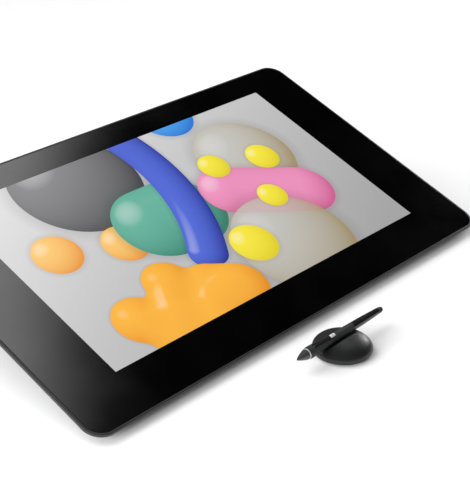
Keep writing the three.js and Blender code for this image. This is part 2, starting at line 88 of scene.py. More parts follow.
def middle(node: str) -> Vector:
    """Returns the middle of a CAD node's box, in metres."""
    low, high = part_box(node)
    return (low + high) / 2


FACE_POINT, FACE_NORMAL = mount("drawing_face")
TILT = math.atan2(-FACE_NORMAL.y, FACE_NORMAL.z)
TO_METRES = Matrix.Scale(MM, 4)
PANEL = Matrix.Translation(FACE_POINT) @ Matrix.Rotation(TILT, 4, "X") @ TO_METRES


# ---------------------------------------------------------------------------
# Shaders
# ---------------------------------------------------------------------------


def linear(red: int, green: int, blue: int) -> Colour:
    """Turns a display colour of 0 to 255 into the linear values that a shader takes.

    Args:
        red: Red, 0 to 255.
        green: Green, 0 to 255.
        blue: Blue, 0 to 255.

    Returns:
        The linear colour.
    """

    def channel(value: int) -> float:
        """Returns one channel's linear value."""
        share = value / 255
        return share / 12.92 if share <= 0.04045 else ((share + 0.055) / 1.055) ** 2.4

    return channel(red), channel(green), channel(blue)


class Kind(Enum):
    """What a socket carries."""

    VALUE = "value"
    VECTOR = "vector"
    COLOUR = "colour"


class Wire:
    """A socket that arithmetic can be written with: each operator adds a Math or Vector Math node."""

    def __init__(self, graph: Graph, socket: bpy.types.NodeSocket, kind: Kind = Kind.VALUE) -> None:
        """Wraps a socket.

        Args:
            graph: The graph that the socket's node is in.
            socket: The output socket.
            kind: What the socket carries.
        """
        self.graph = graph
        self.socket = socket
        self.kind = kind

    def _combine(self, operation: str, first: Any, second: Any) -> Wire:
        """Joins two operands, by Vector Math if this wire is a vector.

        Args:
            operation: The node's operation.
            first: The left operand.
            second: The right operand.

        Returns:
            The result.
        """
        if self.kind is not Kind.VECTOR:
            return self.graph.node("ShaderNodeMath", {"operation": operation}, {0: first, 1: second})
        both = [(v,) * 3 if isinstance(v, (int, float)) else v for v in (first, second)]
        return self.graph.node(
            "ShaderNodeVectorMath", {"operation": operation}, {0: both[0], 1: both[1]}, kind=Kind.VECTOR
        )

    def __add__(self, other: Any) -> Wire:
        """Returns self + other."""
        return self._combine("ADD", self, other)

    def __radd__(self, other: Any) -> Wire:
        """Returns other + self."""
        return self._combine("ADD", other, self)

    def __sub__(self, other: Any) -> Wire:
        """Returns self - other."""
        return self._combine("SUBTRACT", self, other)

    def __rsub__(self, other: Any) -> Wire:
        """Returns other - self."""
        return self._combine("SUBTRACT", other, self)

    def __mul__(self, other: Any) -> Wire:
        """Returns self * other."""
        return self._combine("MULTIPLY", self, other)

    def __rmul__(self, other: Any) -> Wire:
        """Returns other * self."""
        return self._combine("MULTIPLY", other, self)

    def __pow__(self, power: float) -> Wire:
        """Returns self to a power."""
        return self._combine("POWER", self, power)

    def dot(self, other: Any) -> Wire:
        """Returns the dot product with another vector."""
        return self.graph.node(
            "ShaderNodeVectorMath", {"operation": "DOT_PRODUCT"}, {0: self, 1: other}, output="Value"
        )

    def times(self, factor: Any) -> Wire:
        """Returns this vector scaled by a number or a value wire."""
        return self.graph.node(
            "ShaderNodeVectorMath", {"operation": "SCALE"}, {0: self, "Scale": factor}, kind=Kind.VECTOR
        )

    def eased(self, low: float, high: float) -> Wire:
        """Returns 0 at low and 1 at high, with a smooth start and end."""
        return self.graph.node(
            "ShaderNodeMapRange",
            {"interpolation_type": "SMOOTHSTEP"},
            {"Value": self, "From Min": low, "From Max": high},
        )

    def spread(self, low: float, high: float, to_low: float = 0.0, to_high: float = 1.0) -> Wire:
        """Maps a range of this value to another, held at its ends.

        Args:
            low: The value that gives to_low.
            high: The value that gives to_high.
            to_low: The result at low.
            to_high: The result at high.

        Returns:
            The mapped value.
        """
        return self.graph.node(
            "ShaderNodeMapRange",
            {"clamp": True},
            {"Value": self, "From Min": low, "From Max": high, "To Min": to_low, "To Max": to_high},
        )


class Graph:
    """A node tree, whose nodes are added by type and joined by wires."""

    def __init__(self, tree: bpy.types.NodeTree) -> None:
        """Empties the tree.

        Args:
            tree: The tree of a material or of the world.
        """
        self.tree = tree
        self.tree.nodes.clear()

    def node(
        self,
        type_name: str,
        settings: dict[str, Any] | None = None,
        sockets: dict[str | int, Any] | None = None,
        output: str | int = 0,
        kind: Kind = Kind.VALUE,
    ) -> Wire:
        """Adds one node.

        Args:
            type_name: The node's type.
            settings: Its settings, which are set first. "stops" fills a colour ramp.
            sockets: Values or wires for its input sockets, by name or place.
            output: The output socket to return.
            kind: What that output carries.

        Returns:
            The output, as a wire.
        """
        made = self.tree.nodes.new(type_name)
        for key, value in (settings or {}).items():
            if key == "stops":
                self._fill_ramp(made.color_ramp, value)
            else:
                setattr(made, key, value)
        for key, value in (sockets or {}).items():
            self.feed(made.inputs[key], value)
        return Wire(self, made.outputs[output], kind)

    def feed(self, socket: bpy.types.NodeSocket, value: Any) -> None:
        """Links a wire to an input socket, or sets the socket's own value.

        Args:
            socket: The input socket.
            value: A wire, a number, a vector or a colour.
        """
        if isinstance(value, Wire):
            self.tree.links.new(value.socket, socket)
        elif socket.type == "RGBA":
            socket.default_value = (*value[:3], 1.0)
        else:
            socket.default_value = value

    @staticmethod
    def _fill_ramp(ramp: bpy.types.ColorRamp, stops: Sequence[tuple[float, Colour]]) -> None:
        """Sets a colour ramp's stops.

        Args:
            ramp: The ramp, which starts with two stops.
            stops: Places from 0 to 1, each with its colour.
        """
        while len(ramp.elements) < len(stops):
            ramp.elements.new(0.5)
        for element, (place, colour) in zip(ramp.elements, stops):
            element.position = place
            element.color = (*colour, 1.0)

    def mix(self, share: Any, first: Any, second: Any) -> Wire:
        """Blends two colours.

        Args:
            share: 0 for the first, 1 for the second.
            first: A colour or a colour wire.
            second: A colour or a colour wire.

        Returns:
            The blended colour.
        """
        made = self.tree.nodes.new("ShaderNodeMix")
        made.data_type = "RGBA"
        by_name = {"Factor_Float": share, "A_Color": first, "B_Color": second}
        for socket in made.inputs:
            if socket.identifier in by_name:
                self.feed(socket, by_name[socket.identifier])
        result = next(s for s in made.outputs if s.identifier == "Result_Color")
        return Wire(self, result, Kind.COLOUR)


class Shader(Graph):
    """A material's graph, with one Principled shader at its end."""

    def __init__(self, name: str) -> None:
        """Makes the material.

        Args:
            name: The material's name.
        """
        self.material = bpy.data.materials.new(name)
        self.material.use_nodes = True
        super().__init__(self.material.node_tree)
        self.surface = self.tree.nodes.new("ShaderNodeBsdfPrincipled")
        output = self.tree.nodes.new("ShaderNodeOutputMaterial")
        self.tree.links.new(self.surface.outputs["BSDF"], output.inputs["Surface"])

    def place(self) -> Wire:
        """Returns the surface point in metres, in the row frame."""
        return self.node("ShaderNodeTexCoord", output="Object", kind=Kind.VECTOR)

    def panel_place(self) -> Wire:
        """Returns the surface point in millimetres, in the frame of the glass."""
        return self.node(
            "ShaderNodeMapping",
            {"vector_type": "TEXTURE"},
            {"Vector": self.place(), "Location": FACE_POINT, "Rotation": (TILT, 0, 0), "Scale": (MM,) * 3},
            kind=Kind.VECTOR,
        )

    def noise(self, where: Wire, size: float, detail: float = 2.0, stretch: Point = (1, 1, 1)) -> Wire:
        """Adds smooth noise.

        Args:
            where: The place it is read at, in metres.
            size: The size of its features, in millimetres.
            detail: How many finer layers it has.
            stretch: Factors that squeeze the pattern along each axis.

        Returns:
            The noise, from 0 to 1.
        """
        sockets = {"Vector": where * stretch, "Scale": 1 / (size * MM), "Detail": detail}
        return self.node("ShaderNodeTexNoise", {}, sockets)

    def bump(self, height: Wire, depth: float) -> Wire:
        """Raises the surface's normal by a height.

        Args:
            height: The height, from 0 to 1.
            depth: What a height of 1 stands for, in millimetres.

        Returns:
            The new normal.
        """
        sockets = {"Height": height, "Distance": depth * MM}
        return self.node("ShaderNodeBump", {}, sockets, output="Normal", kind=Kind.VECTOR)

    def edges(self, radius: float) -> Wire:
        """Marks the edges of the solid.

        Args:
            radius: How far from an edge the mark reaches, in millimetres.

        Returns:
            About 1 on an edge and 0 on a flat.
        """
        flat, bent = 0.995, 0.9
        true_normal = self.node("ShaderNodeNewGeometry", output="Normal", kind=Kind.VECTOR)
        rounded = self.node(
            "ShaderNodeBevel", {"samples": 4}, {"Radius": radius * MM}, output="Normal", kind=Kind.VECTOR
        )
        return rounded.dot(true_normal).spread(flat, bent)

    def finish(self, **sockets: Any) -> bpy.types.Material:
        """Feeds the Principled shader.

        Args:
            **sockets: Its inputs, with underscores for spaces.

        Returns:
            The material.
        """
        for key, value in sockets.items():
            self.feed(self.surface.inputs[key.replace("_", " ")], value)
        return self.material


# ---------------------------------------------------------------------------
# Finishes
# ---------------------------------------------------------------------------


class Texture(Enum):
    """How a surface was made, which sets the pattern of its grain."""

    MOULDED = "moulded"
    SPARKED = "sparked"
    RUBBER = "rubber"
    PAINTED = "painted"
    BRUSHED = "brushed"
    TURNED = "turned"
    BOARD = "board"


# Each finish's material, so that it is built only once.
MADE: dict[str, bpy.types.Material] = {}


@dataclass(frozen=True)
class Finish:
    """A plain material: its colour and gloss, and the grain, mottle and wear that break them up."""

    name: str
    colour: Colour
    texture: Texture
    roughness: float
    metallic: float = 0.0
    grain: float = 0.5
    relief: float = 0.01
    mottle: float = 0.12
    coat: float = 0.0
    wear: float = 0.0

    STRETCHES = {Texture.BRUSHED: (0.03, 1, 1), Texture.TURNED: (1, 0.15, 0.15)}
    DRIFT_SIZE = 55.0
    SMUDGE_SIZE = 9.0
    DRIFT_GLOSS = 0.1
    SMUDGE_GLOSS = 0.16
    WORN_EDGE = 0.5
    CELL_SIZE = 1.3
    TRACK_SIZE = 4.0

    def grain_height(self, shader: Shader, where: Wire) -> Wire:
        """Makes the fine relief of the surface.

        Args:
            shader: The shader to add it to.
            where: The surface point.

        Returns:
            The height, from 0 to 1.
        """
        fine = shader.noise(where, self.grain, 3.0, self.STRETCHES.get(self.texture, (1, 1, 1)))
        if self.texture is Texture.SPARKED:
            scale = 1 / (self.grain * self.CELL_SIZE * MM)
            cells = shader.node("ShaderNodeTexVoronoi", {}, {"Vector": where, "Scale": scale})
            return fine * 0.5 + cells * 0.5
        if self.texture is Texture.BOARD:
            tracks = shader.node(
                "ShaderNodeTexBrick",
                {"offset": 0.37},
                {"Vector": where, "Scale": 1 / (self.TRACK_SIZE * self.grain * MM), "Mortar Size": 0.08},
                output="Fac",
            )
            return tracks * 0.8 + fine * 0.2
        return fine

    def material(self) -> bpy.types.Material:
        """Builds the material, once.

        Returns:
            The material.
        """
        if self.name in MADE:
            return MADE[self.name]
        shader = Shader(self.name)
        MADE[self.name] = shader.material
        where = shader.place()
        height = self.grain_height(shader, where)
        drift = shader.noise(where, self.DRIFT_SIZE, 3.0).spread(0.3, 0.7)
        smudge = shader.noise(where, self.SMUDGE_SIZE, 2.0).spread(0.35, 0.75)
        deep = tuple(c * (1 - self.mottle) for c in self.colour)
        pale = tuple(min(1.0, c * (1 + self.mottle) + 0.002) for c in self.colour)
        colour = shader.mix(drift * 0.7 + height * 0.3, deep, pale)
        steady = self.roughness * (1 - (self.DRIFT_GLOSS + self.SMUDGE_GLOSS) / 2)
        uneven = smudge * (self.SMUDGE_GLOSS * self.roughness) + drift * (self.DRIFT_GLOSS * self.roughness)
        roughness = uneven + steady
        if self.wear:
            worn = shader.edges(self.WORN_EDGE) * height.spread(0.3, 0.6) * self.wear
            rubbed = tuple(min(1.0, c * 1.8 + 0.05) for c in self.colour)
            colour = shader.mix(worn, colour, rubbed)
            roughness = roughness - worn * (0.3 * self.roughness)
        return shader.finish(
            Base_Color=colour,
            Roughness=roughness,
            Metallic=self.metallic,
            Coat_Weight=self.coat,
            Coat_Roughness=0.15,
            Normal=shader.bump(height, self.relief),
        )


class Finishes:
    """The finishes of the set, by what they are for."""

    FRAME = Finish(
        "satin_frame_paint", linear(56, 56, 57), Texture.PAINTED,
        roughness=0.34, metallic=0.5, grain=0.35, relief=0.004, mottle=0.05, wear=0.4,
    )
    SHELL = Finish(
        "sparked_shell_plastic", linear(38, 39, 41), Texture.SPARKED,
        roughness=0.62, grain=0.6, relief=0.03, mottle=0.1, wear=0.3,
    )
    COVER = Finish(
        "smooth_cover_plastic", linear(34, 35, 37), Texture.SPARKED,
        roughness=0.5, grain=0.4, relief=0.015, mottle=0.1, wear=0.3,
    )
    RUBBER = Finish(
        "foot_rubber", linear(26, 26, 27), Texture.RUBBER,
        roughness=0.86, grain=0.8, relief=0.03, mottle=0.15,
    )
    LEG = Finish(
        "leg_powder_paint", linear(60, 62, 64), Texture.PAINTED,
        roughness=0.48, metallic=0.35, grain=0.5, relief=0.02, mottle=0.08, wear=0.6,
    )
    STEEL = Finish(
        "stamped_steel", linear(178, 180, 182), Texture.BRUSHED,
        roughness=0.3, metallic=1.0, grain=0.35, relief=0.004, mottle=0.08,
    )
    FAN = Finish(
        "dark_fan_plastic", linear(28, 29, 31), Texture.MOULDED,
        roughness=0.45, grain=0.6, relief=0.008,
    )
    BUTTON = Finish(
        "button_plastic", linear(46, 47, 49), Texture.MOULDED,
        roughness=0.4, grain=0.3, relief=0.006, wear=0.4,
    )
    BOARD = Finish(
        "solder_mask", linear(28, 78, 52), Texture.BOARD,
        roughness=0.42, grain=0.6, relief=0.05, mottle=0.25, coat=0.4,
    )
    CHASSIS = Finish(
        "sheet_aluminium", linear(176, 178, 180), Texture.BRUSHED,
        roughness=0.38, metallic=1.0, grain=0.5, relief=0.004,
    )
    TRAY = Finish(
        "white_tray_plastic", linear(226, 226, 222), Texture.MOULDED,
        roughness=0.5, grain=0.7, relief=0.006, mottle=0.03,
    )
    TONGUE = Finish(
        "socket_tongue_plastic", linear(20, 20, 22), Texture.MOULDED,
        roughness=0.4, grain=0.4, relief=0.004,
    )
    BLUE_TONGUE = Finish(
        "blue_tongue_plastic", linear(26, 84, 160), Texture.MOULDED,
        roughness=0.4, grain=0.4, relief=0.004,
    )
    GRIP = Finish(
        "grip_rubber", linear(43, 45, 45), Texture.RUBBER,
        roughness=0.6, grain=0.35, relief=0.012, mottle=0.08,
    )
    BARREL = Finish(
        "barrel_plastic", linear(20, 21, 21), Texture.MOULDED,
        roughness=0.26, grain=0.5, relief=0.003, mottle=0.1, coat=0.3,
    )
    # Dark cone plastic lightened to a mid grey, which carries part of its sheen as painted highlight.
    CONE_WITH_PAINTED_SHEEN = Finish(
        "cone_plastic_with_painted_sheen", linear(56, 57, 58), Texture.TURNED,
        roughness=0.24, grain=0.4, relief=0.002, mottle=0.1, coat=0.6,
    )
    # Near-white silver: real trim on the pen's ring, and on the rear rocker cap a painted highlight of the
    # rocker's raised rear half.
    TRIM_AND_PAINTED_HIGHLIGHT = Finish(
        "polished_trim_and_painted_highlight", linear(236, 237, 238), Texture.TURNED,
        roughness=0.3, metallic=0.6, grain=0.4, relief=0.001, mottle=0.03,
    )
    NIB = Finish(
        "fine_nib_plastic", linear(58, 58, 60), Texture.MOULDED,
        roughness=0.5, grain=0.2, relief=0.004,
    )
    STAND = Finish(
        "satin_stand_plastic", linear(27, 28, 28), Texture.MOULDED,
        roughness=0.42, grain=0.5, relief=0.006, mottle=0.08,
    )


@dataclass(frozen=True)
class BlackGlass:
    """Finely etched glass over black print."""

    name: str = "etched_black_glass"
    roughness: float = 0.09
    etch_size: float = 0.25
    etch_depth: float = 0.0004
    smear_size: float = 70.0

    def material(self) -> bpy.types.Material:
        """Returns the glass, with the faint sparkle of its etching."""
        shader = Shader(self.name)
        where = shader.place()
        etch = shader.noise(where, self.etch_size, 2.0)
        smear = shader.noise(where, self.smear_size, 3.0).spread(0.3, 0.7)
        colour = shader.mix(smear, linear(1, 1, 1), linear(3, 3, 3))
        return shader.finish(
            Base_Color=colour,
            Roughness=smear * 0.05 + self.roughness,
            Normal=shader.bump(etch, self.etch_depth),
            IOR=1.5,
        )


PICTURE_LIGHT = (-0.42, 0.55, 0.72)
EDGE_WIDTH = 0.015
CONTACT_SHADE = 0.35
SHINE = 0.25


def shaded(shader: Shader, facing: Wire, lit: Colour, shade: Colour) -> Wire:
    """Colours a round form by how far it faces the light.

    Args:
        shader: The picture's shader.
        facing: 1 towards the light and -1 away from it.
        lit: The colour in the light.
        shade: The colour away from it.

    Returns:
        The colour, with a soft shine.
    """
    colour = shader.mix(facing.spread(-0.35, 0.95), shade, lit)
    return shader.mix(facing.spread(0.9, 1.0) * SHINE, colour, (1.0, 1.0, 1.0))


def scaled(shader: Shader, way: Point, length: Wire) -> Wire:
    """Returns a fixed direction times a value."""
    return shader.node(
        "ShaderNodeVectorMath", {"operation": "SCALE"}, {0: way, "Scale": length}, kind=Kind.VECTOR
    )


@dataclass(frozen=True)
class Blob:
    """A shaded ball in the picture that the display shows, or a rod with round ends.

    A rod is straight from start to end, or where it has a bend, it is an arc about that point.
    """

    start: tuple[float, float]
    radius: float
    lit: Colour
    shade: Colour
    end: tuple[float, float] | None = None
    bend: tuple[float, float] | None = None
    clear: float = 0.0

    SHADOW_REACH = (1.5, 0.9)
    SHADOW_DEPTH = 0.22
    RIM_DEPTH = 0.35

    def nearness(self, shader: Shader, point: Wire) -> Wire:
        """Measures from the blob's middle.

        Args:
            shader: The picture's shader.
            point: The point on the glass, in millimetres.

        Returns:
            The way from the nearest point of the blob's core, as a vector in radii.
        """
        share = 1 / self.radius
        if self.bend is not None:
            return self.bent(shader, point)
        away = point - (*self.start, 0.0)
        if self.end is not None:
            core = Vector((self.end[0] - self.start[0], self.end[1] - self.start[1], 0.0))
            along = away.dot(tuple(core / core.length_squared)).spread(0.0, 1.0)
            away = away - scaled(shader, tuple(core), along)
        return away * (share, share, 0.0)

    def bent(self, shader: Shader, point: Wire) -> Wire:
        """Measures from the core of a rod that is an arc, cut off at its start.

        Args:
            shader: The picture's shader.
            point: The point on the glass, in millimetres.

        Returns:
            The way from the nearest point of the core, as a vector in radii.
        """
        share = 1 / self.radius
        arm = Vector((self.start[0] - self.bend[0], self.start[1] - self.bend[1], 0.0))
        outward = Vector((arm.y, -arm.x, 0.0)).normalized()
        from_centre = (point - (*self.bend, 0.0)) * (1.0, 1.0, 0.0)
        distance = from_centre.dot(from_centre) ** 0.5
        radial = from_centre.times((distance - arm.length) * share * distance**-1)
        past = (point - (*self.start, 0.0)).dot(tuple(outward)).spread(0.0, 1000.0, 0.0, 1000.0 * share)
        return radial + scaled(shader, tuple(outward), past)

    def over(self, shader: Shader, point: Wire, below: Wire) -> Wire:
        """Lays the blob over what is behind it.

        Args:
            shader: The picture's shader.
            point: The point on the glass, in millimetres.
            below: The colour so far.

        Returns:
            The colour with the blob on it.
        """
        offset = self.nearness(shader, point)
        spread = offset.dot(offset)
        shadow = spread.spread(*self.SHADOW_REACH) * self.SHADOW_DEPTH
        below = shader.mix(shadow, below, tuple(c * CONTACT_SHADE for c in self.shade))
        height = (1 - spread).spread(0.0, 1.0) ** 0.5
        facing = offset.dot((*PICTURE_LIGHT[:2], 0.0)) + height * PICTURE_LIGHT[2]
        colour = shaded(shader, facing, self.lit, self.shade)
        inside = spread.spread(1.0, 1.0 - EDGE_WIDTH)
        if self.clear:
            below = shader.mix(spread.spread(0.6, 1.0) * inside * self.RIM_DEPTH, below, self.shade)
        return shader.mix(inside * (1 - self.clear), below, colour)


@dataclass(frozen=True)
class Cluster:
    """Balls that run together into one lumpy form."""

    balls: tuple[tuple[float, float, float], ...]
    lit: Colour
    shade: Colour
    reach: float = 0.65

    SHADOW_DEPTH = 0.2

    def over(self, shader: Shader, point: Wire, below: Wire) -> Wire:
        """Lays the cluster over what is behind it.

        Args:
            shader: The picture's shader.
            point: The point on the glass, in millimetres.
            below: The colour so far.

        Returns:
            The colour with the cluster on it.
        """
        total, lean = None, None
        for x, y, radius in self.balls:
            offset = (point - (x, y, 0.0)) * (1 / radius, 1 / radius, 0.0)
            weight = (1 - offset.dot(offset) * self.reach).spread(0.0, 1.0) ** 2.0
            pull = offset.times(weight)
            total = weight if total is None else total + weight
            lean = pull if lean is None else lean + pull
        rim = (1 - self.reach) ** 2
        slope = lean.times((total + 0.001) ** -1)
        height = total.spread(rim, 1.0) ** 0.5
        facing = slope.dot((*PICTURE_LIGHT[:2], 0.0)) + height * PICTURE_LIGHT[2]
        shadow = total.spread(rim * 0.4, rim) * self.SHADOW_DEPTH
        below = shader.mix(shadow, below, tuple(c * CONTACT_SHADE for c in self.shade))
        colour = shaded(shader, facing, self.lit, self.shade)
        return shader.mix(total.spread(rim, rim + 0.02), below, colour)


@dataclass(frozen=True)
class Picture:
    """The lit screen: a plain arrangement of balls and rods before a grey wall."""

    name: str = "lit_picture"
    glow: float = 1.0
    roughness: float = 0.16

    WALL_FALL = (0.5, -1, 0)
    WALL_REACH = 250
    WALL = (linear(222, 222, 223), linear(192, 192, 193), linear(163, 163, 164))
    SKY_BLUE = (linear(84, 170, 240), linear(40, 120, 210))
    ROYAL = (linear(84, 108, 216), linear(34, 48, 150))
    GREY = (linear(132, 132, 134), linear(68, 68, 72))
    GREEN = (linear(104, 180, 158), linear(48, 128, 108))
    PINK = (linear(238, 150, 192), linear(204, 96, 146))
    SMOKE = (linear(204, 203, 196), linear(160, 138, 84))
    YELLOW = (linear(246, 230, 66), linear(222, 204, 34))
    AMBER = (linear(250, 200, 112), linear(232, 150, 60))
    ORANGE = (linear(252, 184, 64), linear(226, 140, 30))

    def forms(self) -> list[Blob | Cluster]:
        """Returns the shapes from the back of the picture to its front."""
        return [
            Blob((95, 166), 43, *self.SKY_BLUE),
            Blob((-101, 112), 87, *self.GREY),
            Blob((139, 48), 72, *self.SMOKE, clear=0.3),
            Blob((-201, 24), 31, *self.AMBER),
            Blob((-118, 0), 30, *self.AMBER),
            Blob((-56, 8), 60, *self.GREEN, end=(-18, 8)),
            Blob((70, 8), 44, *self.PINK, end=(162, -38)),
            Blob((84, 54), 22, *self.YELLOW),
            Blob((161, 38), 24, *self.YELLOW),
            Blob((-40, -62), 26, *self.ROYAL, bend=(-253, 94)),
            Blob((76, -104), 84, *self.SMOKE, clear=0.3),
            Blob((24, -79), 32, *self.YELLOW),
            Blob((114, -26), 21, *self.YELLOW),
            Cluster(
                (
                    (-118, -76, 33),
                    (-186, -104, 35),
                    (-76, -110, 40),
                    (-46, -124, 38),
                    (-158, -138, 42),
                    (-106, -146, 44),
                    (-136, -108, 34),
                ),
                *self.ORANGE,
            ),
        ]

    def material(self) -> bpy.types.Material:
        """Builds the picture.

        Returns:
            The material.
        """
        shader = Shader(self.name)
        point = shader.panel_place()
        across = point.dot(self.WALL_FALL).spread(-self.WALL_REACH, self.WALL_REACH)
        stops = list(zip((0, 0.5, 1), self.WALL))
        colour = shader.node("ShaderNodeValToRGB", {"stops": stops}, {"Fac": across}, kind=Kind.COLOUR)
        for form in self.forms():
            colour = form.over(shader, point, colour)
        return shader.finish(
            Base_Color=(0.01, 0.01, 0.01),
            Roughness=self.roughness,
            Emission_Color=colour,
            Emission_Strength=self.glow,
            Specular_IOR_Level=0.15,
            IOR=1.5,
        )


# ---------------------------------------------------------------------------
# Mesh tools
# ---------------------------------------------------------------------------


@dataclass(frozen=True)
class Outline:
    """A rectangle with rounded corners, in a flat frame, in millimetres."""

    left: float
    right: float
    front: float
    back: float
    corner: float
    segments: int = 16

    def inset(self, distance: float, corner: float | None = None) -> Outline:
        """Draws the outline in.

        Args:
            distance: How far each side moves in.
            corner: The new corner radius, or None for one that keeps its centre.

        Returns:
            The smaller outline.
        """
        return replace(
            self,
            left=self.left + distance,
            right=self.right - distance,
            front=self.front + distance,
            back=self.back - distance,
            corner=self.corner - distance if corner is None else corner,
        )

    def face(self, mesh: bmesh.types.BMesh, height: float) -> bmesh.types.BMFace:
        """Makes the outline as one flat face.

        Args:
            mesh: The mesh to add it to.
            height: Its height.

        Returns:
            The face.
        """
        made = bmesh.ops.create_grid(mesh, x_segments=1, y_segments=1, size=0.5)
        size = (self.right - self.left, self.back - self.front, 1)
        centre = ((self.left + self.right) / 2, (self.front + self.back) / 2, height)
        bmesh.ops.scale(mesh, vec=size, verts=made["verts"])
        bmesh.ops.translate(mesh, vec=centre, verts=made["verts"])
        bmesh.ops.bevel(
            mesh,
            geom=made["verts"],
            offset=self.corner,
            segments=self.segments,
            profile=0.5,
            affect="VERTICES",
            material=-1,
        )
        face = next(iter(mesh.faces))
        self.fit(face.verts, self, height)
        return face

    def fit(self, verts: Iterable[bmesh.types.BMVert], target: Outline, height: float) -> None:
        """Moves a ring of vertices from this outline onto another.

        Args:
            verts: The ring, which lies on this outline.
            target: The outline to move it to.
            height: The new height.
        """
        for vert in verts:
            side = (
                1 if vert.co.x > (self.left + self.right) / 2 else -1,
                1 if vert.co.y > (self.front + self.back) / 2 else -1,
            )
            away = Vector((vert.co.x, vert.co.y)) - self.corner_centre(side)
            away = away.normalized() if away.length > 1e-6 else Vector(side).normalized()
            spot = target.corner_centre(side) + away * target.corner
            vert.co = (spot.x, spot.y, height)

    def corner_centre(self, side: tuple[int, int]) -> Vector:
        """Returns the centre of one corner's arc.

        Args:
            side: The signs of the corner along X and Y.

        Returns:
            The centre.
        """
        x = self.right - self.corner if side[0] > 0 else self.left + self.corner
        y = self.back - self.corner if side[1] > 0 else self.front + self.corner
        return Vector((x, y))


def raise_rings(
    mesh: bmesh.types.BMesh, rings: Sequence[tuple[Outline, float]], closed: bool = False
) -> None:
    """Raises a skin through a stack of outlines.

    Args:
        mesh: The mesh to add it to.
        rings: Each outline and its height, in order.
        closed: Whether the last ring joins the first, as on a frame. Otherwise both ends are capped.
    """
    outline, height = rings[0]
    start = outline.face(mesh, height)
    first = loop = list(start.edges)
    for target, rise in rings[1:]:
        grown = bmesh.ops.extrude_edge_only(mesh, edges=loop)["geom"]
        verts = {item for item in grown if isinstance(item, bmesh.types.BMVert)}
        edges = [item for item in grown if isinstance(item, bmesh.types.BMEdge)]
        loop = [edge for edge in edges if verts.issuperset(edge.verts)]
        outline.fit(verts, target, rise)
        outline = target
    if closed:
        bmesh.ops.delete(mesh, geom=[start], context="FACES_ONLY")
        bmesh.ops.bridge_loops(mesh, edges=first + loop)
    else:
        bmesh.ops.contextual_create(mesh, geom=loop)
    bmesh.ops.recalc_face_normals(mesh, faces=mesh.faces)


class Axis(Enum):
    """The axis that a turned piece is spun about."""

    ALONG_X = (1, 0, 0)
    ALONG_Z = (0, 0, 1)


def turn(
    mesh: bmesh.types.BMesh,
    outline: Profile,
    sides: int,
    axis: Axis = Axis.ALONG_X,
    closed: bool = False,
) -> None:
    """Spins an outline into a turned piece.

    Args:
        mesh: The mesh to add it to.
        outline: Each point's radius and place along the axis.
        sides: How many steps the turn has.
        axis: The axis.
        closed: Whether the outline is a loop, as on a tube.
    """
    if axis is Axis.ALONG_X:
        points = [mesh.verts.new((along, radius, 0)) for radius, along in outline]
    else:
        points = [mesh.verts.new((radius, 0, along)) for radius, along in outline]
    pairs = list(zip(points, points[1:])) + ([(points[-1], points[0])] if closed else [])
    edges = [mesh.edges.new(pair) for pair in pairs]
    bmesh.ops.spin(
        mesh,
        geom=points + edges,
        cent=(0, 0, 0),
        axis=axis.value,
        angle=FULL_TURN,
        steps=sides,
        use_merge=True,
        use_duplicate=False,
    )
    bmesh.ops.remove_doubles(mesh, verts=mesh.verts, dist=1e-4)
    bmesh.ops.recalc_face_normals(mesh, faces=mesh.faces)


def flowing(points: Profile, steps: int) -> list[tuple[float, float]]:
    """Runs a smooth curve through an outline's points.

    Args:
        points: The points.
        steps: How many steps lie between two points.

    Returns:
        The finer outline.
    """

    def between(b: float, s: float, e: float, a: float, t: float) -> float:
        """Returns the curve's value at t, between s and e, with b before them and a after."""
        bend = (2 * b - 5 * s + 4 * e - a) * t**2 + (3 * s - b - 3 * e + a) * t**3
        return 0.5 * (2 * s + (e - b) * t + bend)

    ends = [points[0], *points, points[-1]]
    fine: list[tuple[float, float]] = []
    for four in zip(ends, ends[1:], ends[2:], ends[3:]):
        for step in range(steps):
            fine.append(tuple(between(*values, step / steps) for values in zip(*four)))
    fine.append(points[-1])
    return fine


def soften(mesh: bmesh.types.BMesh, width: float) -> None:
    """Rounds a mesh's hard edges, apart from those too short for it.

    Args:
        mesh: The mesh.
        width: The width of the rounding, in the mesh's units.
    """
    hard_angle, shortest = math.radians(30), 2.2 * width
    hard = [
        edge
        for edge in mesh.edges
        if len(edge.link_faces) == 2
        and edge.calc_face_angle(0.0) > hard_angle
        and edge.calc_length() > shortest
    ]
    bmesh.ops.bevel(
        mesh,
        geom=hard,
        offset=width,
        segments=2,
        profile=0.5,
        affect="EDGES",
        material=-1,
        clamp_overlap=False,
    )


def added(name: str, data: bpy.types.ID, pose: Matrix | None = None) -> bpy.types.Object:
    """Adds an object to the scene.

    Args:
        name: Its name.
        data: Its mesh, light or camera.
        pose: Its place and turn, or None to leave it at the origin.

    Returns:
        The object.
    """
    made = bpy.data.objects.new(name, data)
    bpy.context.scene.collection.objects.link(made)
    if pose is not None:
        made.matrix_world = pose
    return made


@dataclass(frozen=True)
class Station:
    """Where a finished piece goes: the body it rides on and the CAD nodes it stands for, with the name of a
    slot.
    """

    body: str
    slot: str
    replaces: tuple[str, ...] = ()


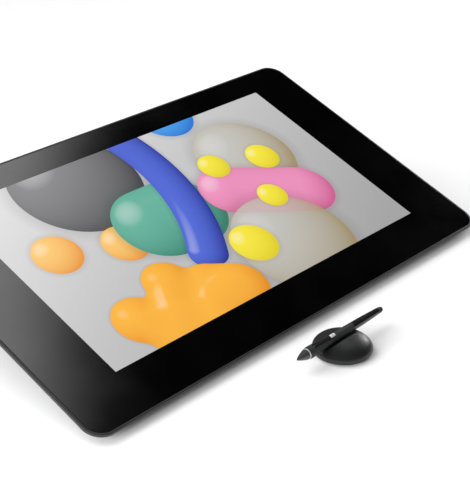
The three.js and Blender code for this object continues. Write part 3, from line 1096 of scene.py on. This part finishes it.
def publish(
    name: str,
    mesh: bmesh.types.BMesh,
    finish: Any,
    station: Station,
    place: Matrix | None = None,
    sharp: float = 40.0,
) -> None:
    """Turns a mesh into a dressed piece in its place.

    Args:
        name: The piece's name.
        mesh: The mesh, which is freed.
        finish: The finish, which has a material method.
        station: Its body and replaced nodes; its slot is not used.
        place: The way from the mesh's frame to the row frame, or None if it is already there.
        sharp: The angle above which an edge stays crisp, in degrees.
    """
    if place is not None:
        bmesh.ops.transform(mesh, matrix=place, verts=mesh.verts)
    data = bpy.data.meshes.new(name)
    mesh.to_mesh(data)
    mesh.free()
    data.polygons.foreach_set("use_smooth", [True] * len(data.polygons))
    data.set_sharp_from_angle(angle=math.radians(sharp))
    data.materials.append(finish.material())
    piece = added(name, data)
    weighted = piece.modifiers.new("even_flats", "WEIGHTED_NORMAL")
    weighted.keep_sharp = True
    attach(piece, station.body)
    if station.replaces:
        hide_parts(*station.replaces)
    log.info("%s: %d faces", name, len(data.polygons))


def cad_copy(node: str) -> bmesh.types.BMesh:
    """Copies a CAD node's mesh, in metres, with its triangles joined into whole faces.

    Args:
        node: The node.

    Returns:
        The joined copy.
    """
    mesh = bmesh.new()
    mesh.from_mesh(frame["nodes"][node].data)
    bmesh.ops.remove_doubles(mesh, verts=mesh.verts, dist=2e-6)
    bmesh.ops.dissolve_limit(
        mesh,
        angle_limit=math.radians(0.5),
        verts=mesh.verts,
        edges=mesh.edges,
        use_dissolve_boundaries=False,
    )
    return mesh


def refined(node: str, finish: Finish, station: Station, rounding: float) -> None:
    """Puts a copy with rounded edges in the place of a CAD node.

    Args:
        node: The node.
        finish: The finish.
        station: Its body and slot.
        rounding: The width of the rounding, in millimetres.
    """
    mesh = cad_copy(node)
    soften(mesh, rounding * MM)
    publish(f"{node}_form", mesh, finish, replace(station, replaces=(node,)), sharp=50.0)


def dress(node: str, finish: Finish) -> None:
    """Gives a CAD node its finish and leaves its shape alone.

    Args:
        node: The node.
        finish: The finish.
    """
    slots = frame["nodes"][node].data.materials
    slots.clear()
    slots.append(finish.material())


SIDES = ("left", "right")


# ---------------------------------------------------------------------------
# The display
# ---------------------------------------------------------------------------


@dataclass(frozen=True)
class DisplayFront:
    """The sheet of glass with its lit picture, and the thin frame around it."""

    body: Outline = Outline(-338.5, 338.5, -207, 187, corner=23)
    picture: Outline = Outline(-261, 261, -147, 147, corner=0.4, segments=4)
    glass_inset: float = 3.0
    glass_edge: float = 0.3
    glass_depth: float = 1.6
    rounding: float = 0.65
    flange: float = 12.0
    flange_depth: float = 7.4
    seat: float = 2.7
    seat_depth: float = 2.4

    def build(self) -> None:
        """Builds the glass border, the picture and the frame."""
        self.build_border()
        self.build_picture()
        self.build_frame()

    def build_border(self) -> None:
        """Builds the black border of the glass, open where the picture shows."""
        mesh = bmesh.new()
        inset, edge = self.glass_inset, self.glass_edge
        rings = [
            (self.body.inset(inset), -self.glass_depth),
            (self.body.inset(inset), -edge),
            (self.body.inset(inset + 0.3 * edge), -0.3 * edge),
            (self.body.inset(inset + edge), 0.0),
            (self.picture, 0.0),
            (self.picture, -self.glass_depth),
        ]
        raise_rings(mesh, rings, closed=True)
        station = Station("display", "cover_glass", ("cover_glass",))
        publish("glass_border", mesh, BlackGlass(), station, PANEL)

    def build_picture(self) -> None:
        """Builds the part of the glass that is lit from behind."""
        mesh = bmesh.new()
        raise_rings(mesh, [(self.picture, -self.glass_depth), (self.picture, 0.0)])
        station = Station("display", "picture_panel", ("cover_glass",))
        publish("lit_glass", mesh, Picture(), station, PANEL)

    def build_frame(self) -> None:
        """Builds the satin frame, a closed ring with rounded lips and a seat for the glass."""
        mesh = bmesh.new()
        r = self.rounding
        section = [
            (self.flange, -self.flange_depth),
            (0.6, -4.45),
            (0.15, -4.1),
            (0.0, -3.6),
            (0.0, -r * 1.9),
            (0.08 * r, -r * 1.3),
            (0.35 * r, -r * 0.6),
            (0.8 * r, -r * 0.18),
            (1.5 * r, 0.0),
            (self.seat - 0.25, 0.0),
            (self.seat - 0.08, -0.06),
            (self.seat, -0.25),
            (self.seat, -self.seat_depth),
            (self.flange, -self.seat_depth),
        ]
        rings = [(self.body.inset(i, max(self.body.corner - i, 1)), z) for i, z in section]
        raise_rings(mesh, rings, closed=True)
        station = Station("display", "bezel_frame", ("bezel_frame",))
        publish("frame_ring", mesh, Finishes.FRAME, station, PANEL)


@dataclass(frozen=True)
class RearBody:
    """The shell behind the glass, its hatch and screws, and what stands on or under it."""

    shell_rounding: float = 0.5
    hatch_rounding: float = 0.6
    pad_rounding: float = 0.8
    screw_rounding: float = 0.2
    screws: int = 4

    def build(self) -> None:
        """Builds the outside of the body, and dresses what is inside it."""
        shell = Station("display", "rear_shell")
        rubber = Station("display", "rubber")
        refined("rear_cover", Finishes.SHELL, shell, self.shell_rounding)
        refined("engine_cover", Finishes.COVER, shell, self.hatch_rounding)
        for number in range(1, self.screws + 1):
            steel = Station("display", "steel")
            refined(f"cover_screw_{number}", Finishes.STEEL, steel, self.screw_rounding)
        for side in SIDES:
            refined(f"front_foot_{side}", Finishes.RUBBER, rubber, self.pad_rounding)
            refined(f"rear_pad_{side}", Finishes.RUBBER, rubber, self.pad_rounding)
        for node, finish in {
            "printed_border": Finishes.TONGUE,
            "lcd_panel": Finishes.TRAY,
            "backlight_unit": Finishes.TRAY,
            "digitizer_board": Finishes.BOARD,
            "chassis_plate": Finishes.CHASSIS,
            "main_board": Finishes.BOARD,
            "heat_sink": Finishes.CHASSIS,
            "card_reader": Finishes.STEEL,
        }.items():
            dress(node, finish)


@dataclass(frozen=True)
class Ports:
    """The sockets on the side walls and the back wall, each with its tongue or centre pin."""

    usb_tongue: Point = (9.5, 10.6, 1.9)
    displayport_tongue: Point = (12.4, 8.4, 1.3)
    hdmi_tongue: Point = (11.4, 8.4, 1.2)
    usb_c_tongue: Point = (6.4, 6.0, 0.7)
    tongue_rounding: float = 0.25
    tongue_corner: float = 0.5
    set_back: float = 2.2
    mouth_rounding: float = 0.15
    round_mouth_rounding: float = 0.2
    button_rounding: float = 0.4

    def build(self) -> None:
        """Builds each socket and its tongue."""
        steel = Station("display", "steel")
        for side in SIDES:
            for row in ("front", "rear"):
                node = f"usb_socket_{side}_{row}"
                refined(node, Finishes.STEEL, steel, self.mouth_rounding)
                self.tongue(node, self.usb_tongue, Finishes.BLUE_TONGUE, -1 if side == "left" else 1)
        for node, size in {
            "displayport_socket": self.displayport_tongue,
            "hdmi_socket": self.hdmi_tongue,
            "usb_c_socket": self.usb_c_tongue,
        }.items():
            refined(node, Finishes.STEEL, steel, self.mouth_rounding)
            self.tongue(node, size, Finishes.TONGUE, 0)
        for node in ("headphone_socket", "power_socket"):
            refined(node, Finishes.TONGUE, steel, self.round_mouth_rounding)
        button = Station("power_button", "rear_shell")
        refined("power_button", Finishes.BUTTON, button, self.button_rounding)

    def tongue(self, node: str, size: Point, finish: Finish, side: int) -> None:
        """Builds the tongue in a socket's mouth.

        Args:
            node: The socket.
            size: The tongue's size along the panel's X, Y and Z.
            finish: Its plastic.
            side: -1 or 1 where the mouth is on the left or right wall, and 0 on the back wall.
        """
        centre = PANEL.inverted() @ middle(node)
        half = [length / 2 for length in size]
        inward = Vector((-side * self.set_back, 0 if side else -self.set_back, 0))
        mesh = bmesh.new()
        outline = Outline(-half[0], half[0], -half[1], half[1], self.tongue_corner, segments=4)
        rounding = self.tongue_rounding
        rings = [
            (outline.inset(rounding), -half[2]),
            (outline, rounding - half[2]),
            (outline, half[2] - rounding),
            (outline.inset(rounding), half[2]),
        ]
        raise_rings(mesh, rings)
        place = PANEL @ Matrix.Translation(centre + inward)
        publish(f"{node}_tongue", mesh, finish, Station("display", "steel"), place)


@dataclass(frozen=True)
class Legs:
    """The two fold-out legs, on pins in the brackets at the back of the shell."""

    pin_rounding: float = 0.35
    bar_rounding: float = 1.0
    foot_rounding: float = 0.9
    bracket_rounding: float = 0.4
    sides: int = 48

    def build(self) -> None:
        """Builds both legs with their pins, brackets and rubber feet."""
        steel = Station("display", "steel")
        for side in SIDES:
            leg = f"leg_{side}"
            refined(f"{leg}_bar", Finishes.LEG, Station(leg, "leg_metal"), self.bar_rounding)
            refined(f"{leg}_foot", Finishes.RUBBER, Station(leg, "rubber"), self.foot_rounding)
            refined(f"hinge_bracket_{side}", Finishes.STEEL, steel, self.bracket_rounding)
            self.build_pin(side)

    def build_pin(self, side: str) -> None:
        """Builds a hinge pin with chamfered ends.

        Args:
            side: The leg that it carries.
        """
        node = f"hinge_pin_{side}"
        low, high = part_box(node)
        length = (high.x - low.x) / MM
        radius = (high.z - low.z) / MM / 2
        cut = self.pin_rounding
        near_end = [(0, 0), (radius - cut, 0), (radius, cut)]
        far_end = [(r, length - along) for r, along in reversed(near_end)]
        mesh = bmesh.new()
        turn(mesh, [*near_end, *far_end], self.sides)
        place = Matrix.Translation((low.x, (low.y + high.y) / 2, (low.z + high.z) / 2)) @ TO_METRES
        publish(f"{node}_turned", mesh, Finishes.STEEL, Station("display", "steel", (node,)), place)


@dataclass(frozen=True)
class Fans:
    """The two blowers behind the grilles."""

    housing_rounding: float = 0.3

    def build(self) -> None:
        """Refines both housings and dresses the rotors."""
        housing = Station("display", "fan_plastic")
        for side in SIDES:
            refined(f"fan_housing_{side}", Finishes.FAN, housing, self.housing_rounding)
            dress(f"fan_rotor_{side}", Finishes.FAN)


# ---------------------------------------------------------------------------
# The pen
# ---------------------------------------------------------------------------


@dataclass(frozen=True)
class Pen:
    """The pen, along X from its nib, with its side switch on +Z."""

    roll: float = 14.0
    sides: int = 96
    length: float = 151.5
    nib_radius: float = 0.78
    nib_end: float = 18.0
    cone_end: float = 15.8
    cone_bore: float = 1.2
    ring_start: float = 16.12
    ring_end: float = 17.28
    ring_bore: float = 2.2
    grip_start: float = 17.4
    grip_end: float = 95.0
    grip_bore: float = 4.15
    shank_start: float = 22.0
    shank_radius: float = 4.0
    barrel_start: float = 95.3
    barrel_end: float = 142.1
    barrel_bore: float = 2.8
    eraser_start: float = 136.1
    eraser_collar: float = 143.2
    eraser_stem: float = 2.2
    switch_start: float = 26.0
    switch_split: float = 55.5
    switch_seam: float = 0.3
    switch_end: float = 63.0
    switch_width: float = 4.6
    switch_corner: float = 1.1
    switch_floor: float = 4.35
    seat_gap: float = 0.35
    seat_slope: float = 6.0
    seat_above: float = 3.0
    grip: Profile = (
        (6.7, 17.6),
        (7.1, 21.5),
        (6.9, 28.0),
        (6.2, 38.0),
        (5.6, 50.0),
        (5.4, 64.0),
        (5.3, 86.0),
        (5.15, 95.0),
    )
    place: Matrix = field(init=False)

    CAP_RINGS = ((0.0, 5.3), (0.0, 5.65), (0.12, 5.95), (0.4, 6.15), (0.8, 6.28), (1.3, 6.36), (1.8, 6.4))

    def __post_init__(self) -> None:
        """Works out the way from the pen's frame to the row frame."""
        low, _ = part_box("pen_nib")
        tip = Vector((low.x, middle("pen_nib").y, middle("pen_nib").z))
        place = Matrix.Translation(tip) @ Matrix.Rotation(math.radians(self.roll), 4, "X") @ TO_METRES
        object.__setattr__(self, "place", place)

    def build(self) -> None:
        """Builds the pen from its nib to its eraser."""
        self.build_tip()
        self.build_grip()
        self.build_barrel()
        self.build_switch()
        dress("pen_circuit", Finishes.BOARD)

    def turned(
        self, node: str, outline: Profile, finish: Finish, station: Station, closed: bool = False
    ) -> None:
        """Builds one turned piece of the pen.

        Args:
            node: The CAD node that it stands for, whose own part of the name it takes.
            outline: Its radii along the pen.
            finish: Its finish.
            station: Its body and slot.
            closed: Whether it is a tube.
        """
        mesh = bmesh.new()
        turn(mesh, outline, self.sides, closed=closed)
        name = f"{node.removeprefix('pen_')}_turned"
        publish(name, mesh, finish, replace(station, replaces=(node,)), self.place)

    def build_tip(self) -> None:
        """Builds the nib, the cone and the ring behind it."""
        point = [(0, 0), (0.28, 0.08), (0.5, 0.35), (0.62, 0.9), (0.7, 2.0), (self.nib_radius, 4.0)]
        nib = [*point, (self.nib_radius, self.nib_end), (0, self.nib_end)]
        self.turned("pen_nib", nib, Finishes.NIB, Station("pen_nib", "nib_plastic"))
        skin = [(1.35, 1.8), (1.62, 2.3), (2.95, 5.2), (4.3, 8.7), (5.4, 12.2), (6.1, 14.9)]
        bore = [(self.cone_bore, self.cone_end), (self.cone_bore, 1.95)]
        cone = [*flowing(skin, steps=5), (6.2, 15.5), (6.05, self.cone_end), *bore]
        # The cone's grey carries part of its sheen as painted highlight.
        self.turned("pen_cone", cone, Finishes.CONE_WITH_PAINTED_SHEEN, Station("pen", "pen_barrel"), closed=True)
        start, end = self.ring_start, self.ring_end
        half = [(6.2, 0.0), (6.42, 0.13)]
        front = [(radius, start + along) for radius, along in half]
        back = [(radius, end - along) for radius, along in reversed(half)]
        ring = [*front, (6.5, (start + end) / 2), *back, (self.ring_bore, end), (self.ring_bore, start)]
        self.turned("pen_ring", ring, Finishes.TRIM_AND_PAINTED_HIGHLIGHT, Station("pen", "pen_trim"), closed=True)

    def recess(self, mesh: bmesh.types.BMesh) -> None:
        """Sinks the seat of the side switch into the grip.

        Args:
            mesh: The grip.
        """
        corner = self.switch_corner + self.seat_gap
        centre = (self.switch_start + self.switch_end) / 2
        straight_x = (self.switch_end - self.switch_start) / 2 - self.switch_corner
        straight_y = self.switch_width / 2 - self.switch_corner
        for vert in mesh.verts:
            if vert.co.z < self.seat_above:
                continue
            past_x = max(abs(vert.co.x - centre) - straight_x, 0.0)
            past_y = max(abs(vert.co.y) - straight_y, 0.0)
            outside = max(math.hypot(past_x, past_y) - corner, 0.0)
            vert.co.z = min(vert.co.z, self.switch_floor + outside * self.seat_slope)

    def build_grip(self) -> None:
        """Builds the flared rubber grip with the seat of the switch in it."""
        mesh = bmesh.new()
        skin = flowing([(6.45, self.grip_start), *self.grip], steps=24)
        bore = [(self.grip_bore, self.grip_end), (self.grip_bore, self.grip_start)]
        turn(mesh, [*skin, *bore], 2 * self.sides, closed=True)
        self.recess(mesh)
        station = Station("pen", "pen_rubber", ("pen_grip",))
        publish("grip_turned", mesh, Finishes.GRIP, station, self.place)

    def build_barrel(self) -> None:
        """Builds the glossy rear barrel and the eraser in its end."""
        start, end = self.barrel_start, self.barrel_end
        skin = [(4.95, start), (5.1, 96.1), (4.9, 112), (4.35, 130), (3.9, 141.5), (3.7, end)]
        shank = [(self.shank_radius, self.shank_start), (self.shank_radius, start)]
        bore = [(self.barrel_bore, end), (self.barrel_bore, self.shank_start)]
        barrel = [*shank, *flowing(skin, steps=8), *bore]
        self.turned("pen_barrel", barrel, Finishes.BARREL, Station("pen", "pen_barrel"), closed=True)
        start, collar, stem = self.eraser_start, self.eraser_collar, self.eraser_stem
        cap = [(3.75, 143.5), (3.5, 147.5), (2.7, 150.1), (1.4, 151.2), (0, self.length)]
        eraser = [(0, start), (stem, start), (stem, collar), (3.6, collar), *flowing(cap, steps=5)]
        self.turned("pen_eraser", eraser, Finishes.GRIP, Station("pen_eraser", "pen_rubber"))

    def build_switch(self) -> None:
        """Builds the two rocker caps, dark in front and bright behind, where the near-white rear cap is a
        painted highlight of the rocker's raised rear half.
        """
        half, seam = self.switch_width / 2, self.switch_seam / 2
        front, rear = self.switch_split - seam, self.switch_split + seam
        # The rear cap's near-white silver is a painted highlight of the rocker's raised rear half.
        caps = (
            ("side_switch", self.switch_start, front, Finishes.BARREL, "pen_barrel"),
            ("side_switch_trim", rear, self.switch_end, Finishes.TRIM_AND_PAINTED_HIGHLIGHT, "pen_trim"),
        )
        for node, start, end, finish, slot in caps:
            mesh = bmesh.new()
            outline = Outline(start, end, -half, half, self.switch_corner, segments=10)
            corners = [max(self.switch_corner - inset, 0.15) for inset, _ in self.CAP_RINGS]
            rings = [(outline.inset(i, corner), z) for (i, z), corner in zip(self.CAP_RINGS, corners)]
            raise_rings(mesh, rings)
            publish(f"{node}_cap", mesh, finish, Station("side_switch", slot, (node,)), self.place)


@dataclass(frozen=True)
class PenStand:
    """The domed stand, with a groove for the pen over a twist-off base that keeps spare nibs."""

    radius: float = 34.4
    dome_floor: float = 5.0
    dome_rise: float = 15.0
    fullness: float = 0.9
    groove_radius: float = 12.0
    groove_centre: tuple[float, float] = (4.9, 25.2)
    groove_blend: float = 1.1
    hollow_radius: float = 30.0
    hollow_top: float = 7.2
    skirt_floor: float = 1.6
    base_rounding: float = 0.3
    spare_nibs: int = 4
    sides: int = 256
    rings: int = 90

    def build(self) -> None:
        """Builds the dome, and refines the base and what it keeps."""
        self.build_dome()
        plastic, rubber = Station("stand_base", "stand_plastic"), Station("stand_base", "rubber")
        refined("stand_base", Finishes.STAND, plastic, self.base_rounding)
        refined("stand_foot_ring", Finishes.RUBBER, rubber, self.base_rounding)
        dress("nib_tray", Finishes.TONGUE)
        for number in range(1, self.spare_nibs + 1):
            dress(f"spare_nib_{number}", Finishes.NIB)

    def blended(self, first: float, second: float) -> float:
        """Returns the lower of two heights, with a rounded join."""
        near = max(self.groove_blend - abs(first - second), 0.0) / self.groove_blend
        return min(first, second) - near * near * self.groove_blend / 4

    def build_dome(self) -> None:
        """Builds the dome as a turned shell, then presses the pen's groove into its top."""
        foot = [
            (0.0, self.hollow_top),
            (self.hollow_radius, self.hollow_top),
            (self.hollow_radius, self.skirt_floor),
            (self.radius - 2.2, self.skirt_floor),
            (self.radius - 1.2, 1.9),
            (self.radius - 0.5, 2.8),
            (self.radius - 0.12, 3.9),
        ]
        crown = []
        for step in range(self.rings):
            lift = math.radians(90 * step / self.rings)
            out = self.radius * math.cos(lift) ** self.fullness
            crown.append((out, self.dome_floor + self.dome_rise * math.sin(lift)))
        crown.append((0.0, self.dome_floor + self.dome_rise))
        mesh = bmesh.new()
        turn(mesh, [*foot, *crown], self.sides, Axis.ALONG_Z)
        middle_y, middle_z = self.groove_centre
        for vert in mesh.verts:
            away = abs(vert.co.y - middle_y)
            if away < self.groove_radius:
                groove = middle_z - math.sqrt(self.groove_radius**2 - away**2)
                vert.co.z = self.blended(vert.co.z, groove)
        bmesh.ops.recalc_face_normals(mesh, faces=mesh.faces)
        low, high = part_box("stand_foot_ring")
        place = Matrix.Translation(((low.x + high.x) / 2, (low.y + high.y) / 2, 0)) @ TO_METRES
        station = Station("stand_dome", "stand_plastic", ("stand_dome",))
        publish("dome_turned", mesh, Finishes.STAND, station, place, sharp=60)


# ---------------------------------------------------------------------------
# The studio
# ---------------------------------------------------------------------------


@dataclass(frozen=True)
class SoftBox:
    """A soft rectangular light that looks at the display."""

    name: str
    place: Point
    size: tuple[float, float]
    power: float
    target: Point = (0.0, 0.0, 0.05)
    mirrored: bool = True

    def build(self) -> None:
        """Builds the light."""
        light = bpy.data.lights.new(self.name, "AREA")
        light.shape = "RECTANGLE"
        light.size, light.size_y = self.size
        light.energy = self.power
        aim = (Vector(self.target) - Vector(self.place)).to_track_quat("-Z", "Y")
        lamp = added(self.name, light, Matrix.Translation(self.place) @ aim.to_matrix().to_4x4())
        lamp.visible_glossy = self.mirrored


@dataclass(frozen=True)
class GradedCard:
    """A bright card with soft sides that only mirror images show.

    Its three directions span the view of the surround, and each pair holds the ends of a soft side.
    """

    brightness: float = 3.2
    across: Point = (0.6827, -0.5632, -0.4656)
    ahead: Point = (0.6482, 0.1728, 0.7416)
    level: Point = (0.3372, 0.8111, -0.4915)
    left_side: tuple[float, float] = (-0.36, -0.24)
    right_side: tuple[float, float] = (-0.19, -0.106)
    lower_side: tuple[float, float] = (-0.36, -0.2)
    upper_side: tuple[float, float] = (0.12, 0.28)
    facing: tuple[float, float] = (0.5, 0.7)

    def light(self, way: Wire) -> Wire:
        """Returns the card's light in a direction.

        Args:
            way: The direction.

        Returns:
            The light, which is 0 off the card.
        """
        across, level = way.dot(self.across), way.dot(self.level)
        wide = (1 - across.eased(*self.right_side)) * across.eased(*self.left_side)
        high = level.eased(*self.lower_side) * (1 - level.eased(*self.upper_side))
        return wide * high * way.dot(self.ahead).eased(*self.facing) * self.brightness


@dataclass(frozen=True)
class FloorFinish:
    """A pale seamless paper."""

    name: str = "pale_paper"
    shade: Colour = (0.8, 0.8, 0.8)
    tooth_size: float = 1.5
    tooth_depth: float = 0.01

    def material(self) -> bpy.types.Material:
        """Returns the paper."""
        shader = Shader(self.name)
        tooth = shader.noise(shader.place(), self.tooth_size, 2.0)
        return shader.finish(
            Base_Color=shader.mix(tooth, tuple(0.99 * c for c in self.shade), self.shade),
            Roughness=0.9,
            Specular_IOR_Level=0.1,
            Normal=shader.bump(tooth, self.tooth_depth),
        )


@dataclass(frozen=True)
class Studio:
    """The floor, the lights and the camera."""

    floor_half: float = 30.0
    camera_place: Point = (-0.968, -0.918018, 0.732593)
    camera_right: Point = (0.6827, -0.73074, -0.00535)
    camera_up: Point = (0.3372, 0.30849, 0.88945)
    lens: float = 88.75
    sky: float = 0.6
    backdrop: float = 1.0
    dark: float = 0.004
    card: GradedCard = GradedCard()
    sun_from: Point = (-0.35, 0.72, 0.74)
    sun_strength: float = 2.3
    sun_spread: float = 50.0
    boxes: tuple[SoftBox, ...] = (
        SoftBox("left_box", place=(-1.5, 0.0, 0.45), size=(0.9, 0.5), power=22.0, mirrored=False),
        SoftBox("rear_strip", place=(-1.1, 1.5, 0.9), size=(1.2, 0.25), power=5.0),
        SoftBox(
            "right_box", place=(1.56, 0.18, 0.45), size=(0.45, 0.28), power=6.5, target=(0.0, -0.2, 0.0)
        ),
    )

    def build(self) -> None:
        """Builds the studio."""
        self.build_floor()
        self.build_world()
        self.build_sun()
        for box in self.boxes:
            box.build()
        self.build_camera()
        bpy.context.scene.view_settings.view_transform = "Standard"

    def build_floor(self) -> None:
        """Lays the pale floor under the feet."""
        mesh = bmesh.new()
        bmesh.ops.create_grid(mesh, x_segments=1, y_segments=1, size=self.floor_half)
        data = bpy.data.meshes.new("paper_floor")
        mesh.to_mesh(data)
        mesh.free()
        data.materials.append(FloorFinish().material())
        added("paper_floor", data)

    def build_sun(self) -> None:
        """Builds the wide soft key light."""
        light = bpy.data.lights.new("soft_key", "SUN")
        light.energy = self.sun_strength
        light.angle = math.radians(self.sun_spread)
        turned = Vector(self.sun_from).to_track_quat("Z", "Y")
        added("soft_key", light, turned.to_matrix().to_4x4()).visible_glossy = False

    def build_world(self) -> None:
        """Builds a pale surround whose mirror image is dark, apart from one graded card."""
        world = bpy.data.worlds.new("studio_surround")
        world.use_nodes = True
        graph = Graph(world.node_tree)
        way = graph.node("ShaderNodeTexCoord", output="Generated", kind=Kind.VECTOR)
        mirrored = graph.node("ShaderNodeLightPath", output="Is Glossy Ray")
        direct = graph.node("ShaderNodeLightPath", output="Is Camera Ray")
        lit = (1 - mirrored) * self.sky + direct * (self.backdrop - self.sky)
        seen = mirrored * (self.card.light(way) + self.dark) + lit
        white = graph.node("ShaderNodeBackground", {}, {"Color": (1, 1, 1), "Strength": seen})
        output = graph.tree.nodes.new("ShaderNodeOutputWorld")
        graph.feed(output.inputs["Surface"], white)
        bpy.context.scene.world = world

    def build_camera(self) -> None:
        """Sets up the camera."""
        data = bpy.data.cameras.new("studio_camera")
        data.lens = self.lens
        data.clip_end = 100.0
        right, up = Vector(self.camera_right).normalized(), Vector(self.camera_up).normalized()
        turned = Matrix((right, up, right.cross(up))).transposed().to_4x4()
        pose = Matrix.Translation(self.camera_place) @ turned
        bpy.context.scene.camera = added("studio_camera", data, pose)


def main() -> None:
    """Builds the set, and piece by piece."""
    logging.basicConfig(level=logging.INFO, format="%(name)s %(message)s")
    for assembly in (DisplayFront(), RearBody(), Ports(), Legs(), Fans(), Pen(), PenStand(), Studio()):
        log.info("building %s", type(assembly).__name__)
        assembly.build()


if __name__ == "__main__":
    main()
